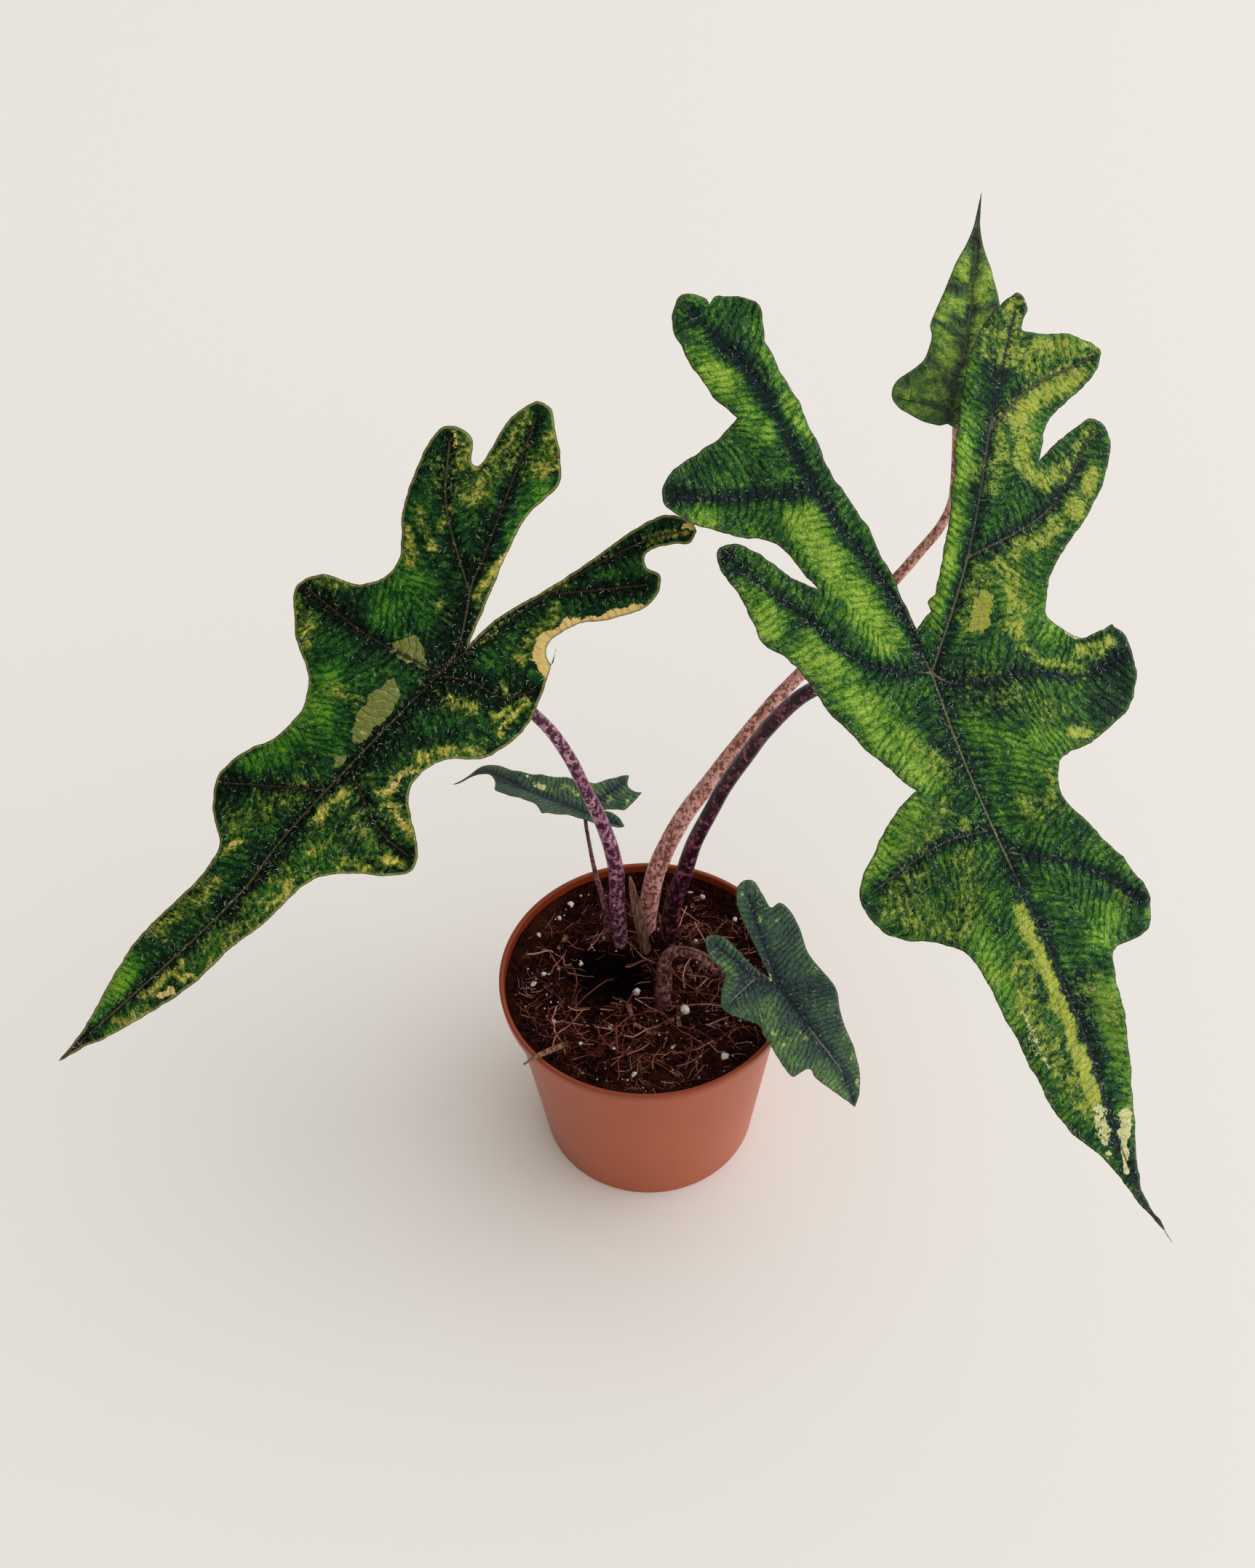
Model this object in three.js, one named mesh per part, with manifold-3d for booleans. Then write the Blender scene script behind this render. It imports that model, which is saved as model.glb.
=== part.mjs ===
import * as THREE from "three";
import { mergeVertices } from "three/addons/utils/BufferGeometryUtils.js";
import Module from "manifold-3d";

// A potted alocasia: a nursery pot, its soil with grains and bark, five leaf blades, their stems and a dry sheath.
// Millimetres, +Z up, the pot's underside on Z = 0 and its axis on Z.

// Pot
const RIM_RADIUS = 60;
const POT_HEIGHT = 93;
const WALL_TOP_RADIUS = 56;
const BASE_RADIUS = 44.5;
const WALL = 1.4;
const RIM_BAND = 5.5;
const DRAIN_HOLES = 6;
const DRAIN_HOLE_RADIUS = 4;
const DRAIN_HOLE_CIRCLE = 32;

// Soil
const SOIL_LEVEL = 84;
const HOLLOW_DEPTH = 7;
const PERLITE_GRAINS = 24;
const BARK_CHIPS = 14;

// Leaves and stems
const BLADE_THICKNESS = 0.9;
const RIB_DEPTH = 1.3;
const RIB_HALF_WIDTH = 1.5;
const STEM_DEPTH = 20;
const STEM_FOOT = SOIL_LEVEL - STEM_DEPTH;
const SHEATH_FOOT = new THREE.Vector3(0.9, 22, 76);
const SHEATH_TIP = new THREE.Vector3(-5.5, 22, 129);
const SHEATH_HALF_WIDTH = 2.2;
const SHEATH_THICKNESS = 1.2;

// Gaps left where one piece stands in or against another
const SEAT_GAP = 0.3;
const HOLE_GAP = 0.45;
const WALL_GAP = 0.4;

// Facets
const POT_SIDES = 48;
const STEM_SIDES = 10;
const STEM_STEP = 9;
const GRID_LIMIT = 30;

const UP = new THREE.Vector3(0, 0, 1);

const wasm = await Module();
wasm.setup();

const group = new THREE.Group();

function material(color, roughness) {
  return new THREE.MeshStandardMaterial({ color, roughness, metalness: 0 });
}

function addPiece(name, geometry, pieceMaterial) {
  const mesh = new THREE.Mesh(geometry, pieceMaterial);
  mesh.name = name;
  group.add(mesh);
}

// Solids for joins and cuts

function toSolid(geometry) {
  const bare = geometry.clone();
  bare.deleteAttribute("normal");
  bare.deleteAttribute("uv");
  const merged = mergeVertices(bare, 1e-4);
  return new wasm.Manifold(new wasm.Mesh({
    numProp: 3,
    vertProperties: Float32Array.from(merged.attributes.position.array),
    triVerts: Uint32Array.from(merged.index.array),
  }));
}

function toGeometry(solid) {
  const mesh = solid.getMesh();
  const geometry = new THREE.BufferGeometry();
  geometry.setAttribute("position", new THREE.BufferAttribute(mesh.vertProperties, 3));
  geometry.setIndex(new THREE.BufferAttribute(mesh.triVerts, 1));
  return geometry;
}

function indexedGeometry(points, triangles) {
  const geometry = new THREE.BufferGeometry();
  geometry.setAttribute("position", new THREE.Float32BufferAttribute(points.flatMap((p) => [p.x, p.y, p.z]), 3));
  geometry.setIndex(triangles);
  return geometry;
}

// Seeded random numbers between 0 and 1

function seededRandom(seed) {
  let state = seed;
  return () => {
    state = (state * 1664525 + 1013904223) % 4294967296;
    return state / 4294967296;
  };
}

// Curves

function smoothLine(points, step) {
  const corners = points.map(([x, y, z = 0]) => new THREE.Vector3(x, y, z));
  if (corners.length === 2) {
    const count = Math.max(1, Math.round(corners[0].distanceTo(corners[1]) / step));
    return new THREE.LineCurve3(corners[0], corners[1]).getPoints(count);
  }
  const curve = new THREE.CatmullRomCurve3(corners, false, "centripetal");
  return curve.getSpacedPoints(Math.max(1, Math.round(curve.getLength() / step)));
}

function distanceToLine(x, y, line) {
  let nearest = Infinity;
  for (let i = 1; i < line.length; i += 1) {
    const a = line[i - 1];
    const b = line[i];
    const lengthSquared = (b.x - a.x) ** 2 + (b.y - a.y) ** 2;
    const along = ((x - a.x) * (b.x - a.x) + (y - a.y) * (b.y - a.y)) / lengthSquared;
    const t = Math.min(1, Math.max(0, along));
    nearest = Math.min(nearest, Math.hypot(x - a.x - t * (b.x - a.x), y - a.y - t * (b.y - a.y)));
  }
  return nearest;
}

// Round stems: a ring of sides carried along a path, each ring with its own radius, and flat ends

function stemGeometry(path, radii, sides, step) {
  const curve = new THREE.CatmullRomCurve3(path.map((p) => new THREE.Vector3(...p)), false, "centripetal");
  const rings = Math.round(curve.getLength() / step);
  const frames = curve.computeFrenetFrames(rings, false);
  const points = [];
  for (let ring = 0; ring <= rings; ring += 1) {
    const along = ring / rings;
    const place = along * (radii.length - 1);
    const before = Math.min(Math.floor(place), radii.length - 2);
    const radius = radii[before] + (radii[before + 1] - radii[before]) * (place - before);
    const centre = curve.getPointAt(along);
    for (let side = 0; side < sides; side += 1) {
      const angle = (2 * Math.PI * side) / sides;
      points.push(centre.clone()
        .addScaledVector(frames.normals[ring], radius * Math.cos(angle))
        .addScaledVector(frames.binormals[ring], radius * Math.sin(angle)));
    }
  }
  const start = points.push(curve.getPointAt(0)) - 1;
  const end = points.push(curve.getPointAt(1)) - 1;
  const triangles = [];
  for (let side = 0; side < sides; side += 1) {
    const next = (side + 1) % sides;
    for (let ring = 0; ring < rings; ring += 1) {
      const a = ring * sides + side;
      const b = ring * sides + next;
      triangles.push(a, b, a + sides, b, b + sides, a + sides);
    }
    triangles.push(start, next, side);
    triangles.push(end, rings * sides + side, rings * sides + next);
  }
  return indexedGeometry(points, triangles);
}

// Triangles over a set of flat points: each new point breaks the triangles whose circle holds it

function triangulate(points) {
  const reach = 2000;
  const all = [...points, { x: -reach, y: -reach }, { x: reach, y: -reach }, { x: 0, y: reach }];
  const count = points.length;
  let triangles = [circled(all, count, count + 1, count + 2)];
  for (let i = 0; i < count; i += 1) {
    const point = all[i];
    const edges = new Map();
    const kept = [];
    for (const triangle of triangles) {
      if ((point.x - triangle.x) ** 2 + (point.y - triangle.y) ** 2 > triangle.radiusSquared) {
        kept.push(triangle);
        continue;
      }
      const [a, b, c] = triangle.corners;
      for (const [from, to] of [[a, b], [b, c], [c, a]]) {
        const reverse = `${to},${from}`;
        if (edges.has(reverse)) edges.delete(reverse);
        else edges.set(`${from},${to}`, [from, to]);
      }
    }
    for (const [from, to] of edges.values()) kept.push(circled(all, from, to, i));
    triangles = kept;
  }
  return triangles.map((triangle) => triangle.corners).filter((corners) => corners.every((c) => c < count));
}

function circled(points, a, b, c) {
  const bx = points[b].x - points[a].x;
  const by = points[b].y - points[a].y;
  const cx = points[c].x - points[a].x;
  const cy = points[c].y - points[a].y;
  const area = 2 * (bx * cy - by * cx);
  const x = (cy * (bx * bx + by * by) - by * (cx * cx + cy * cy)) / area;
  const y = (bx * (cx * cx + cy * cy) - cx * (bx * bx + by * by)) / area;
  return { corners: [a, b, c], x: points[a].x + x, y: points[a].y + y, radiusSquared: x * x + y * y };
}

function insideOutline(x, y, outline) {
  let inside = false;
  for (let i = 0, j = outline.length - 1; i < outline.length; j = i, i += 1) {
    const a = outline[i];
    const b = outline[j];
    if ((a.y > y) !== (b.y > y) && x < ((b.x - a.x) * (y - a.y)) / (b.y - a.y) + a.x) inside = !inside;
  }
  return inside;
}

// Leaf blades
// Each blade is drawn flat: x runs from the stem's junction to the tip, y across, and edge holds the
// outline's smooth stretches from corner to corner. Its height over that plane is the arch along the
// midrib, a shallow channel at the midrib and a few soft rises and dips [x, y, reach, height].

function bladeFrame(leaf) {
  const origin = new THREE.Vector3(...leaf.junction);
  const along = new THREE.Vector3(...leaf.tip).sub(origin);
  const length = along.length();
  along.normalize();
  const face = new THREE.Vector3(...leaf.face);
  face.addScaledVector(along, -face.dot(along)).normalize();
  const across = new THREE.Vector3().crossVectors(face, along);
  return { origin, along, across, face, length };
}

function bladeHeight(leaf, length, x, y) {
  const s = x / length;
  const arch = s >= 0 ? 4 * leaf.arch * s * (1 - s) : (4 * leaf.arch * s) / (1 - s / leaf.backBend);
  const side = Math.abs(y);
  const channel = (leaf.channelSlope * side) / (1 + side / leaf.channelWidth);
  let height = arch + channel - leaf.droop * side * side;
  for (const [atX, atY, reach, rise] of leaf.swells) {
    height += rise * Math.exp(-((x - atX) ** 2 + (y - atY) ** 2) / (reach * reach));
  }
  return height;
}

function bladeMesh(leaf) {
  const outline = leaf.edge.flatMap((stretch) => smoothLine(stretch, leaf.edgeStep).slice(0, -1));
  const ribs = leaf.ribs.map((rib) => smoothLine(rib, leaf.ribStep));
  const flat = [...outline];
  const besideRib = 3;
  const tryPoint = (x, y, clear) => {
    if (!insideOutline(x, y, outline)) return;
    if (flat.every((p) => Math.hypot(p.x - x, p.y - y) >= clear)) flat.push(new THREE.Vector3(x, y, 0));
  };
  for (const rib of ribs) {
    for (const point of rib) tryPoint(point.x, point.y, leaf.edgeStep * 0.45);
  }
  for (let i = 1; i < ribs[0].length - 1; i += 1) {
    const side = new THREE.Vector3().subVectors(ribs[0][i + 1], ribs[0][i - 1]).cross(UP).setLength(besideRib);
    tryPoint(ribs[0][i].x + side.x, ribs[0][i].y + side.y, besideRib * 0.8);
    tryPoint(ribs[0][i].x - side.x, ribs[0][i].y - side.y, besideRib * 0.8);
  }
  const spacing = leaf.gridStep;
  const rowHeight = (spacing * Math.sqrt(3)) / 2;
  for (let row = -GRID_LIMIT; row * rowHeight < leaf.reach; row += 1) {
    for (let column = -GRID_LIMIT; column * spacing < leaf.reach; column += 1) {
      tryPoint(row * rowHeight, (column + (row & 1) / 2) * spacing, spacing * 0.62);
    }
  }
  const triangles = triangulate(flat).filter(([a, b, c]) => insideOutline(
    (flat[a].x + flat[b].x + flat[c].x) / 3,
    (flat[a].y + flat[b].y + flat[c].y) / 3,
    outline,
  ));
  return { flat, triangles, ribs, edgeCount: outline.length };
}

// The solid between the blade's upper face, raised by above, and its underside, lowered by below

function bladeSolid(leaf, mesh, above, below) {
  const { origin, along, across, face, length } = bladeFrame(leaf);
  const nudge = 0.05;
  const top = [];
  const bottom = [];
  for (const { x, y } of mesh.flat) {
    const height = bladeHeight(leaf, length, x, y);
    const slopeX = (bladeHeight(leaf, length, x + nudge, y) - height) / nudge;
    const slopeY = (bladeHeight(leaf, length, x, y + nudge) - height) / nudge;
    const normal = face.clone().addScaledVector(along, -slopeX).addScaledVector(across, -slopeY).normalize();
    const nearestRib = Math.min(...mesh.ribs.map((rib) => distanceToLine(x, y, rib)));
    const taper = Math.max(0, 1 - Math.hypot(x, y) / (length * 1.1));
    const rib = RIB_DEPTH * leaf.ribScale * (0.3 + 0.7 * taper) * Math.exp(-((nearestRib / RIB_HALF_WIDTH) ** 2));
    const centre = origin.clone().addScaledVector(along, x).addScaledVector(across, y).addScaledVector(face, height);
    top.push(centre.clone().addScaledVector(normal, BLADE_THICKNESS / 2 + above));
    bottom.push(centre.clone().addScaledVector(normal, -BLADE_THICKNESS / 2 - rib - below));
  }
  const count = mesh.flat.length;
  const triangles = [];
  for (const [a, b, c] of mesh.triangles) {
    triangles.push(a, b, c);
    triangles.push(count + a, count + c, count + b);
  }
  const boundary = new Map();
  for (const [a, b, c] of mesh.triangles) {
    for (const [from, to] of [[a, b], [b, c], [c, a]]) {
      if (boundary.has(`${to},${from}`)) boundary.delete(`${to},${from}`);
      else boundary.set(`${from},${to}`, [from, to]);
    }
  }
  for (const [from, to] of boundary.values()) {
    triangles.push(from, count + from, to);
    triangles.push(to, count + from, count + to);
  }
  return indexedGeometry([...top, ...bottom], triangles);
}

const rightLeaf = {
  name: "right_leaf",
  junction: [96, -31, 290],
  tip: [169, -173, 165],
  face: [0.15, -0.6, 0.78],
  arch: 15,
  backBend: 0.55,
  channelSlope: 0.2,
  channelWidth: 18,
  droop: 0.0006,
  swells: [
    [-150, -25, 45, -10], [-112, 95, 40, -8], [-58, 95, 28, -6], [-62, -46, 26, -6], [22, 60, 28, -8],
    [60, -52, 28, -8], [96, 30, 24, -6], [38, 24, 20, 3], [34, -22, 20, 3], [128, 12, 16, 2],
    [128, -14, 16, 2], [-60, 40, 24, 3], [-70, -12, 22, 2.5],
  ],
  edge: [
    // left back lobe, inner side
    [[-15.6, 2.5], [-34, 3], [-57, 2], [-75, -1], [-100, 0], [-127, -1]],
    [[-127, -1], [-131, 1], [-141, 2], [-148, -9], [-146, -13]],
    // left back lobe, outer side
    [[-146, -13], [-149, -13], [-153, -20], [-146, -27], [-116, -26], [-105, -22]],
    [[-105, -22], [-101, -30], [-95, -52], [-87, -57], [-69, -41], [-61, -29], [-40, -22]],
    // left middle lobe
    [[-40, -22], [-46, -27], [-65, -39], [-66, -46], [-59, -48], [-46, -46], [-32, -47], [-18, -40], [-3, -38],
      [28, -27], [33, -24]],
    // left front lobe down to the tip
    [[33, -24], [36, -31], [55, -52], [61, -54], [71, -51], [76, -46], [81, -37], [89, -30], [111, -28],
      [149, -23], [168, -13], [183, -8], [197, -2], [203, 0]],
    // tip up the right front lobe and the right middle lobe
    [[203, 0], [179, -5], [168, -2], [138, 6], [114, 12], [106, 15], [104, 30], [93, 35], [54, 20], [49, 20],
      [42, 25], [41, 38], [33, 61], [15, 69], [8, 66]],
    // right back lobe, its low side lobe
    [[8, 66], [8, 54], [-2, 46], [-7, 47], [-16, 54], [-31, 78], [-43, 93], [-56, 100], [-61, 96], [-60, 90],
      [-56, 76], [-53, 69]],
    // right back lobe, its high side lobe
    [[-53, 69], [-65, 80], [-74, 103], [-78, 108], [-82, 111], [-86, 109]],
    [[-86, 109], [-93, 100], [-97, 89], [-99, 87], [-106, 93], [-112, 92], [-107, 77]],
    // right back lobe, inner side down to a small nub, and the web across the sinus
    [[-107, 77], [-99, 66], [-90, 58], [-82, 52], [-71, 44], [-40, 25], [-24.2, 13.5]],
    [[-24.2, 13.5], [-23, 10.4], [-19.4, 9.2]],
    [[-19.4, 9.2], [-15.6, 2.5]],
  ],
  ribs: [
    [[0, 0], [34, -5], [102, -5], [156, -7], [181, -6], [200, -1]],
    [[0, 0], [-29, 0], [-72, -9], [-114, -10], [-147, -20]],
    [[-72, -9], [-84, -45], [-88, -53]],
    [[0, 0], [-11, -19], [-32, -30], [-62, -44]],
    [[54, -7], [52, -23], [58, -49]],
    [[0, 0], [-30, 28], [-67, 55], [-106, 88]],
    [[-31, 28], [-36, 63], [-56, 94]],
    [[-69, 57], [-78, 78], [-81, 106]],
    [[0, 0], [6, 5], [12, 29], [20, 48], [19, 65]],
    [[63, -4], [79, 20], [95, 32]],
  ],
  edgeStep: 5,
  ribStep: 7,
  gridStep: 9,
  reach: 210,
  ribScale: 1,
  color: 0x254a22,
};

const leftLeaf = {
  name: "left_leaf",
  junction: [-68, -8, 275],
  tip: [-210, -87, 165],
  face: [0, -0.72, 0.7],
  arch: 14,
  backBend: 0.55,
  channelSlope: 0.2,
  channelWidth: 16,
  droop: 0.0008,
  swells: [
    [-88, -36, 32, -8], [-95, 28, 30, 5], [-70, 34, 18, -9], [12, -54, 24, -8], [75, -28, 22, -6],
    [52, 38, 22, -8], [-5, 34, 20, -5], [28, -22, 18, 3], [25, 16, 15, 2], [110, 8, 14, 2], [-45, -28, 20, 3],
  ],
  edge: [
    // left back lobe, inner side, up to a small nick
    [[-13, 0], [-51, -15], [-59, -17], [-73, -17], [-79, -23]],
    [[-79, -23], [-81, -25]],
    // left back lobe with its side lobe, left middle lobe and left front lobe, down to the tip
    [[-81, -25], [-85, -32], [-89, -38], [-87, -43], [-76, -45], [-58, -41], [-57, -43], [-63, -50], [-59, -59],
      [-32, -50], [-16, -37], [-8, -37], [0, -42], [6, -53], [15, -56], [26, -44], [32, -30], [41, -24],
      [55, -24], [65, -28], [78, -29], [87, -23], [96, -11], [142, -9], [179, -1.5], [196, 0]],
    // tip up the right front lobe and the right middle of the blade
    [[196, 0], [183, 3.5], [173, 7], [138, 15], [116, 16], [103, 18], [78, 20], [55, 41], [38, 23], [32, 20],
      [20, 22], [11, 31], [5, 33], [-6, 34], [-22, 28], [-33, 22]],
    // right back lobe, outer side with its small side lobe
    [[-33, 22], [-28, 25], [-30, 20], [-34, 19], [-45, 22], [-51, 27], [-66, 34], [-75, 30], [-74, 24],
      [-77, 21], [-86, 25], [-90, 29], [-95, 28]],
    // right back lobe, inner side down to the sinus
    [[-95, 28], [-96, 25], [-93, 18], [-86, 14], [-51, 7], [-25, 0.5], [-13, 0]],
  ],
  ribs: [
    [[0, 0], [77, 2], [101, 5], [193, 0.5]],
    [[0, 0], [-10, -2], [-29, -14], [-37, -17], [-83, -39]],
    [[-26, -13], [-42, -40], [-57, -54]],
    [[1, -1], [9, -28], [13, -52]],
    [[54, 2], [80, -27]],
    [[44, 2], [53, 24], [53, 36]],
    [[1, 1], [-5, 10], [-8, 21], [-17, 27]],
    [[0, 0], [-17, 2], [-57, 10], [-83, 19], [-91, 24]],
    [[-46, 9], [-70, 29]],
  ],
  edgeStep: 5,
  ribStep: 7,
  gridStep: 9,
  reach: 200,
  ribScale: 0.9,
  color: 0x2b5223,
};

const frontLeaf = {
  name: "front_small_leaf",
  junction: [52, -24, 113],
  tip: [81, -53, 72],
  face: [0.2, -0.6, 0.77],
  arch: 5,
  backBend: 0.55,
  channelSlope: 0.25,
  channelWidth: 8,
  droop: 0.002,
  swells: [[-38, 10, 14, -3], [-28, -14, 12, -2], [12, 18, 12, 2]],
  edge: [
    [[-5, -1], [-38, 6], [-41.5, 11], [-41, 14], [-38, 16], [-27, 15.5], [-26.5, 19.5], [-19.5, 21], [-3, 17],
      [11, 17.5], [23, 13], [35.5, 11], [50.5, 6], [58, 0]],
    [[58, 0], [36, -8.5], [32.5, -8.5], [31, -10], [31, -15.5], [29.5, -16.5], [11, -16.5], [6.5, -16],
      [-6.5, -23.5], [-17, -14.5]],
    [[-17, -14.5], [-22.5, -15.5], [-25.5, -16], [-31.5, -13.5], [-32, -11.5], [-28.5, -7], [-13, -4], [-5, -1]],
  ],
  ribs: [
    [[0, 0], [15.5, 0], [43.5, 2], [56, 0.5]],
    [[0, 0], [-25, 7], [-36, 11]],
    [[0, 0], [-11, -7], [-18.5, -8.5], [-28, -11.5]],
    [[-8.5, -6], [-7, -19]],
  ],
  edgeStep: 3.2,
  ribStep: 4.5,
  gridStep: 6,
  reach: 62,
  ribScale: 0.6,
  color: 0x2c4f2a,
};

const backLeaf = {
  name: "back_leaf",
  junction: [111, 64, 320],
  tip: [129, 147, 358],
  face: [-0.05, -0.45, 0.9],
  arch: -3,
  backBend: 0.55,
  channelSlope: 0.3,
  channelWidth: 10,
  droop: 0.002,
  swells: [[8, 18, 10, -2], [8, -18, 10, -2]],
  edge: [
    [[-1.5, 0.5], [-3.2, 3.5], [-2.8, 6.5], [-1.5, 11], [2.5, 18], [8, 21.5], [13.5, 20.5], [22, 12.5], [27.5, 11],
      [33, 10.5], [37, 11.5], [51, 8.5], [62, 6], [77, 1.5], [93, 0]],
    [[93, 0], [77, -1.8], [60.5, -8], [50, -11.5], [38, -13], [30, -11.5], [24, -12.5], [15, -19.5],
      [9, -21.5], [3, -18], [-1.5, -10], [-3, -6.5], [-3.4, -3], [-1.5, 0.5]],
  ],
  ribs: [
    [[1, 0], [17.5, 0], [27, -1.5], [39, -2], [90, 0]],
    [[4, 0.5], [7, 19]],
    [[4, -0.5], [8, -19]],
  ],
  edgeStep: 4,
  ribStep: 6,
  gridStep: 7,
  reach: 96,
  ribScale: 0.6,
  color: 0x4d7a2a,
};

const rearLeaf = {
  name: "rear_small_leaf",
  junction: [-22.5, 54.5, 132],
  tip: [-76.5, 76.5, 132],
  face: [0.1, 0.2, 0.97],
  arch: 3,
  backBend: 0.5,
  channelSlope: 0.3,
  channelWidth: 60,
  droop: 0,
  swells: [[61, -5, 10, -9]],
  edge: [
    // far back lobe with two points, then the far side out to the curled tip
    [[-5.5, -3.7], [-10.5, -7.3], [-13.6, -8], [-15, -12.5], [-16.8, -20]],
    [[-16.8, -20], [-13, -19.3], [-10.2, -20.8], [-8.3, -26.5]],
    [[-8.3, -26.5], [-5.8, -25], [-2.5, -21], [4, -14.5], [12.5, -12.8], [18, -11], [27, -8.8], [34.5, -8],
      [41.5, -9], [50, -10], [57, -8], [62, -5]],
    // near side back to a small point and on to the near back lobe
    [[62, -5], [57, -6.8], [51, -6.6], [46, -4.6], [42.5, -2.4], [40, 1.6], [38.5, 6], [36.5, 8.6], [30, 9.8],
      [21.5, 9.3], [17.9, 11], [13.4, 15.8]],
    [[13.4, 15.8], [6, 10.2], [0.7, 7.4], [-5.4, 6.5], [-10, 4.4], [-13, 2.8], [-16.6, -0.4]],
    [[-16.6, -0.4], [-12.7, -3.8], [-9.8, -4.5], [-5.5, -3.7]],
  ],
  ribs: [
    [[0, 0], [11, 1.5], [24.5, 0.5], [39, -3.5], [54, -8]],
    [[0, 0], [-3, -10], [-8, -22]],
    [[0, 0], [-8, 0.5], [-14, -0.5]],
  ],
  edgeStep: 3.4,
  ribStep: 5,
  gridStep: 6.5,
  reach: 64,
  ribScale: 0.5,
  color: 0x33562c,
};

// Stems: points from below the soil to just inside the blade, and radii spread evenly along the stem

const stems = [
  {
    leaf: leftLeaf,
    path: [[-10.3, 26, STEM_FOOT], [-10.3, 26, 84], [-11, 26, 108], [-11, 26, 127], [-13, 24, 146],
      [-17, 22, 166], [-22, 19, 186], [-27, 16, 206], [-34, 12, 226], [-44, 6, 246], [-56, -1, 264],
      [-68.5, -8, 275.5]],
    radii: [3.3, 3.3, 3.2, 2.8, 2.5, 2.3, 2, 1.8],
    color: 0x74485c,
  },
  {
    leaf: rightLeaf,
    path: [[8.5, 21, STEM_FOOT], [8.5, 21, 84], [10, 20, 98], [12, 19, 116], [16, 17, 136], [19.5, 14, 156],
      [25, 11, 176], [31, 8, 196], [38, 3.5, 216], [45, -1, 235], [58, -9, 261], [75, -19, 279],
      [96, -31, 290.5]],
    radii: [3.9, 3.8, 3.5, 3.1, 2.9, 2.9, 2.8, 2.6, 2.4],
    color: 0x4a2a3a,
  },
  {
    leaf: backLeaf,
    path: [[0.5, 30, STEM_FOOT], [0.5, 30, 84], [2, 30, 102], [5, 31, 120], [10, 32, 136], [17.2, 34, 152],
      [26.3, 36, 167], [34.3, 38, 180], [43.3, 41, 193], [53, 44, 206], [79, 51, 235], [96, 56, 254],
      [104, 58, 265], [111, 60, 275], [114.3, 61, 285], [114.5, 62.5, 300], [114, 64.5, 312],
      [113.5, 66.5, 321]],
    radii: [4, 4, 3.9, 3.6, 3.2, 2.8, 2.5, 2.2, 1.9, 1.7, 1.6],
    color: 0xa27264,
  },
  {
    leaf: rearLeaf,
    path: [[-15.5, 29, STEM_FOOT], [-15.5, 29, 84], [-15.8, 29.5, 93], [-17, 32, 103.5], [-19.7, 38, 113],
      [-21.8, 46, 122], [-23, 52, 129], [-22.8, 54.5, 132.5]],
    radii: [1.7, 1.6, 1.4, 1.1, 0.8, 0.8],
    color: 0x8a6066,
  },
  {
    leaf: frontLeaf,
    path: [[6, -9, STEM_FOOT], [6, -9, 84], [7, -9, 100], [7, -9, 110], [8.5, -9.6, 117],
      [11, -10.5, 120.5], [16, -12, 122], [22, -14, 121], [27, -16, 116.5], [32, -17.7, 113],
      [42, -21, 112], [52, -24, 113.5]],
    radii: [3.5, 3.5, 3.3, 3, 2.2, 2, 1.9, 1.8],
    color: 0x6e4a4c,
  },
];

// Pot: a moulded shell with a turned-out rim band and drain holes

function potGeometry() {
  const shoulder = POT_HEIGHT - RIM_BAND;
  const profile = [
    [0, 0], [BASE_RADIUS - 2, 0], [BASE_RADIUS - 0.6, 0.6], [BASE_RADIUS, 2], [WALL_TOP_RADIUS, shoulder - 0.6],
    [RIM_RADIUS - 1.2, shoulder], [RIM_RADIUS - 0.3, shoulder + 0.7], [RIM_RADIUS, POT_HEIGHT - 0.6],
    [RIM_RADIUS - 0.6, POT_HEIGHT], [RIM_RADIUS - 1.9, POT_HEIGHT], [RIM_RADIUS - 2.2, POT_HEIGHT - 0.6],
    [RIM_RADIUS - 2.5, shoulder + 2], [WALL_TOP_RADIUS - WALL, shoulder + 0.8],
    [BASE_RADIUS - WALL, 2.4], [BASE_RADIUS - WALL - 1, WALL], [0, WALL],
  ];
  const shell = new THREE.LatheGeometry(profile.map(([r, z]) => new THREE.Vector2(r, z)), POT_SIDES);
  shell.rotateX(Math.PI / 2);
  let solid = toSolid(shell);
  for (let i = 0; i < DRAIN_HOLES; i += 1) {
    const angle = (2 * Math.PI * i) / DRAIN_HOLES;
    const hole = new THREE.CylinderGeometry(DRAIN_HOLE_RADIUS, DRAIN_HOLE_RADIUS, WALL * 4, 12);
    hole.rotateX(Math.PI / 2);
    hole.translate(DRAIN_HOLE_CIRCLE * Math.cos(angle), DRAIN_HOLE_CIRCLE * Math.sin(angle), 0);
    solid = solid.subtract(toSolid(hole));
  }
  return toGeometry(solid);
}

// Soil: lumps by a formula, a hollow in front of the stems, grains and chips sunk into it, and stem holes

function soilHeight(x, y) {
  const lumps = 0.9 * Math.sin(x / 5.3 + 1.3) * Math.cos(y / 4.1) + 0.8 * Math.sin((x + 2 * y) / 7.9)
    + 0.6 * Math.cos((3 * x - y) / 9.1);
  const hollow = HOLLOW_DEPTH * Math.exp(-(((x + 13) / 15) ** 2) - ((y - 11) / 11) ** 2);
  const mound = 2.5 * Math.exp(-((x / 26) ** 2) - ((y + 22) / 14) ** 2);
  const bank = 2 * (Math.hypot(x, y) / WALL_TOP_RADIUS) ** 6;
  return SOIL_LEVEL + lumps - hollow + mound + bank;
}

function innerWallRadius(z) {
  const slope = (WALL_TOP_RADIUS - BASE_RADIUS) / (POT_HEIGHT - RIM_BAND - 2.6);
  return BASE_RADIUS - WALL + slope * (z - 2.4);
}

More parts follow.
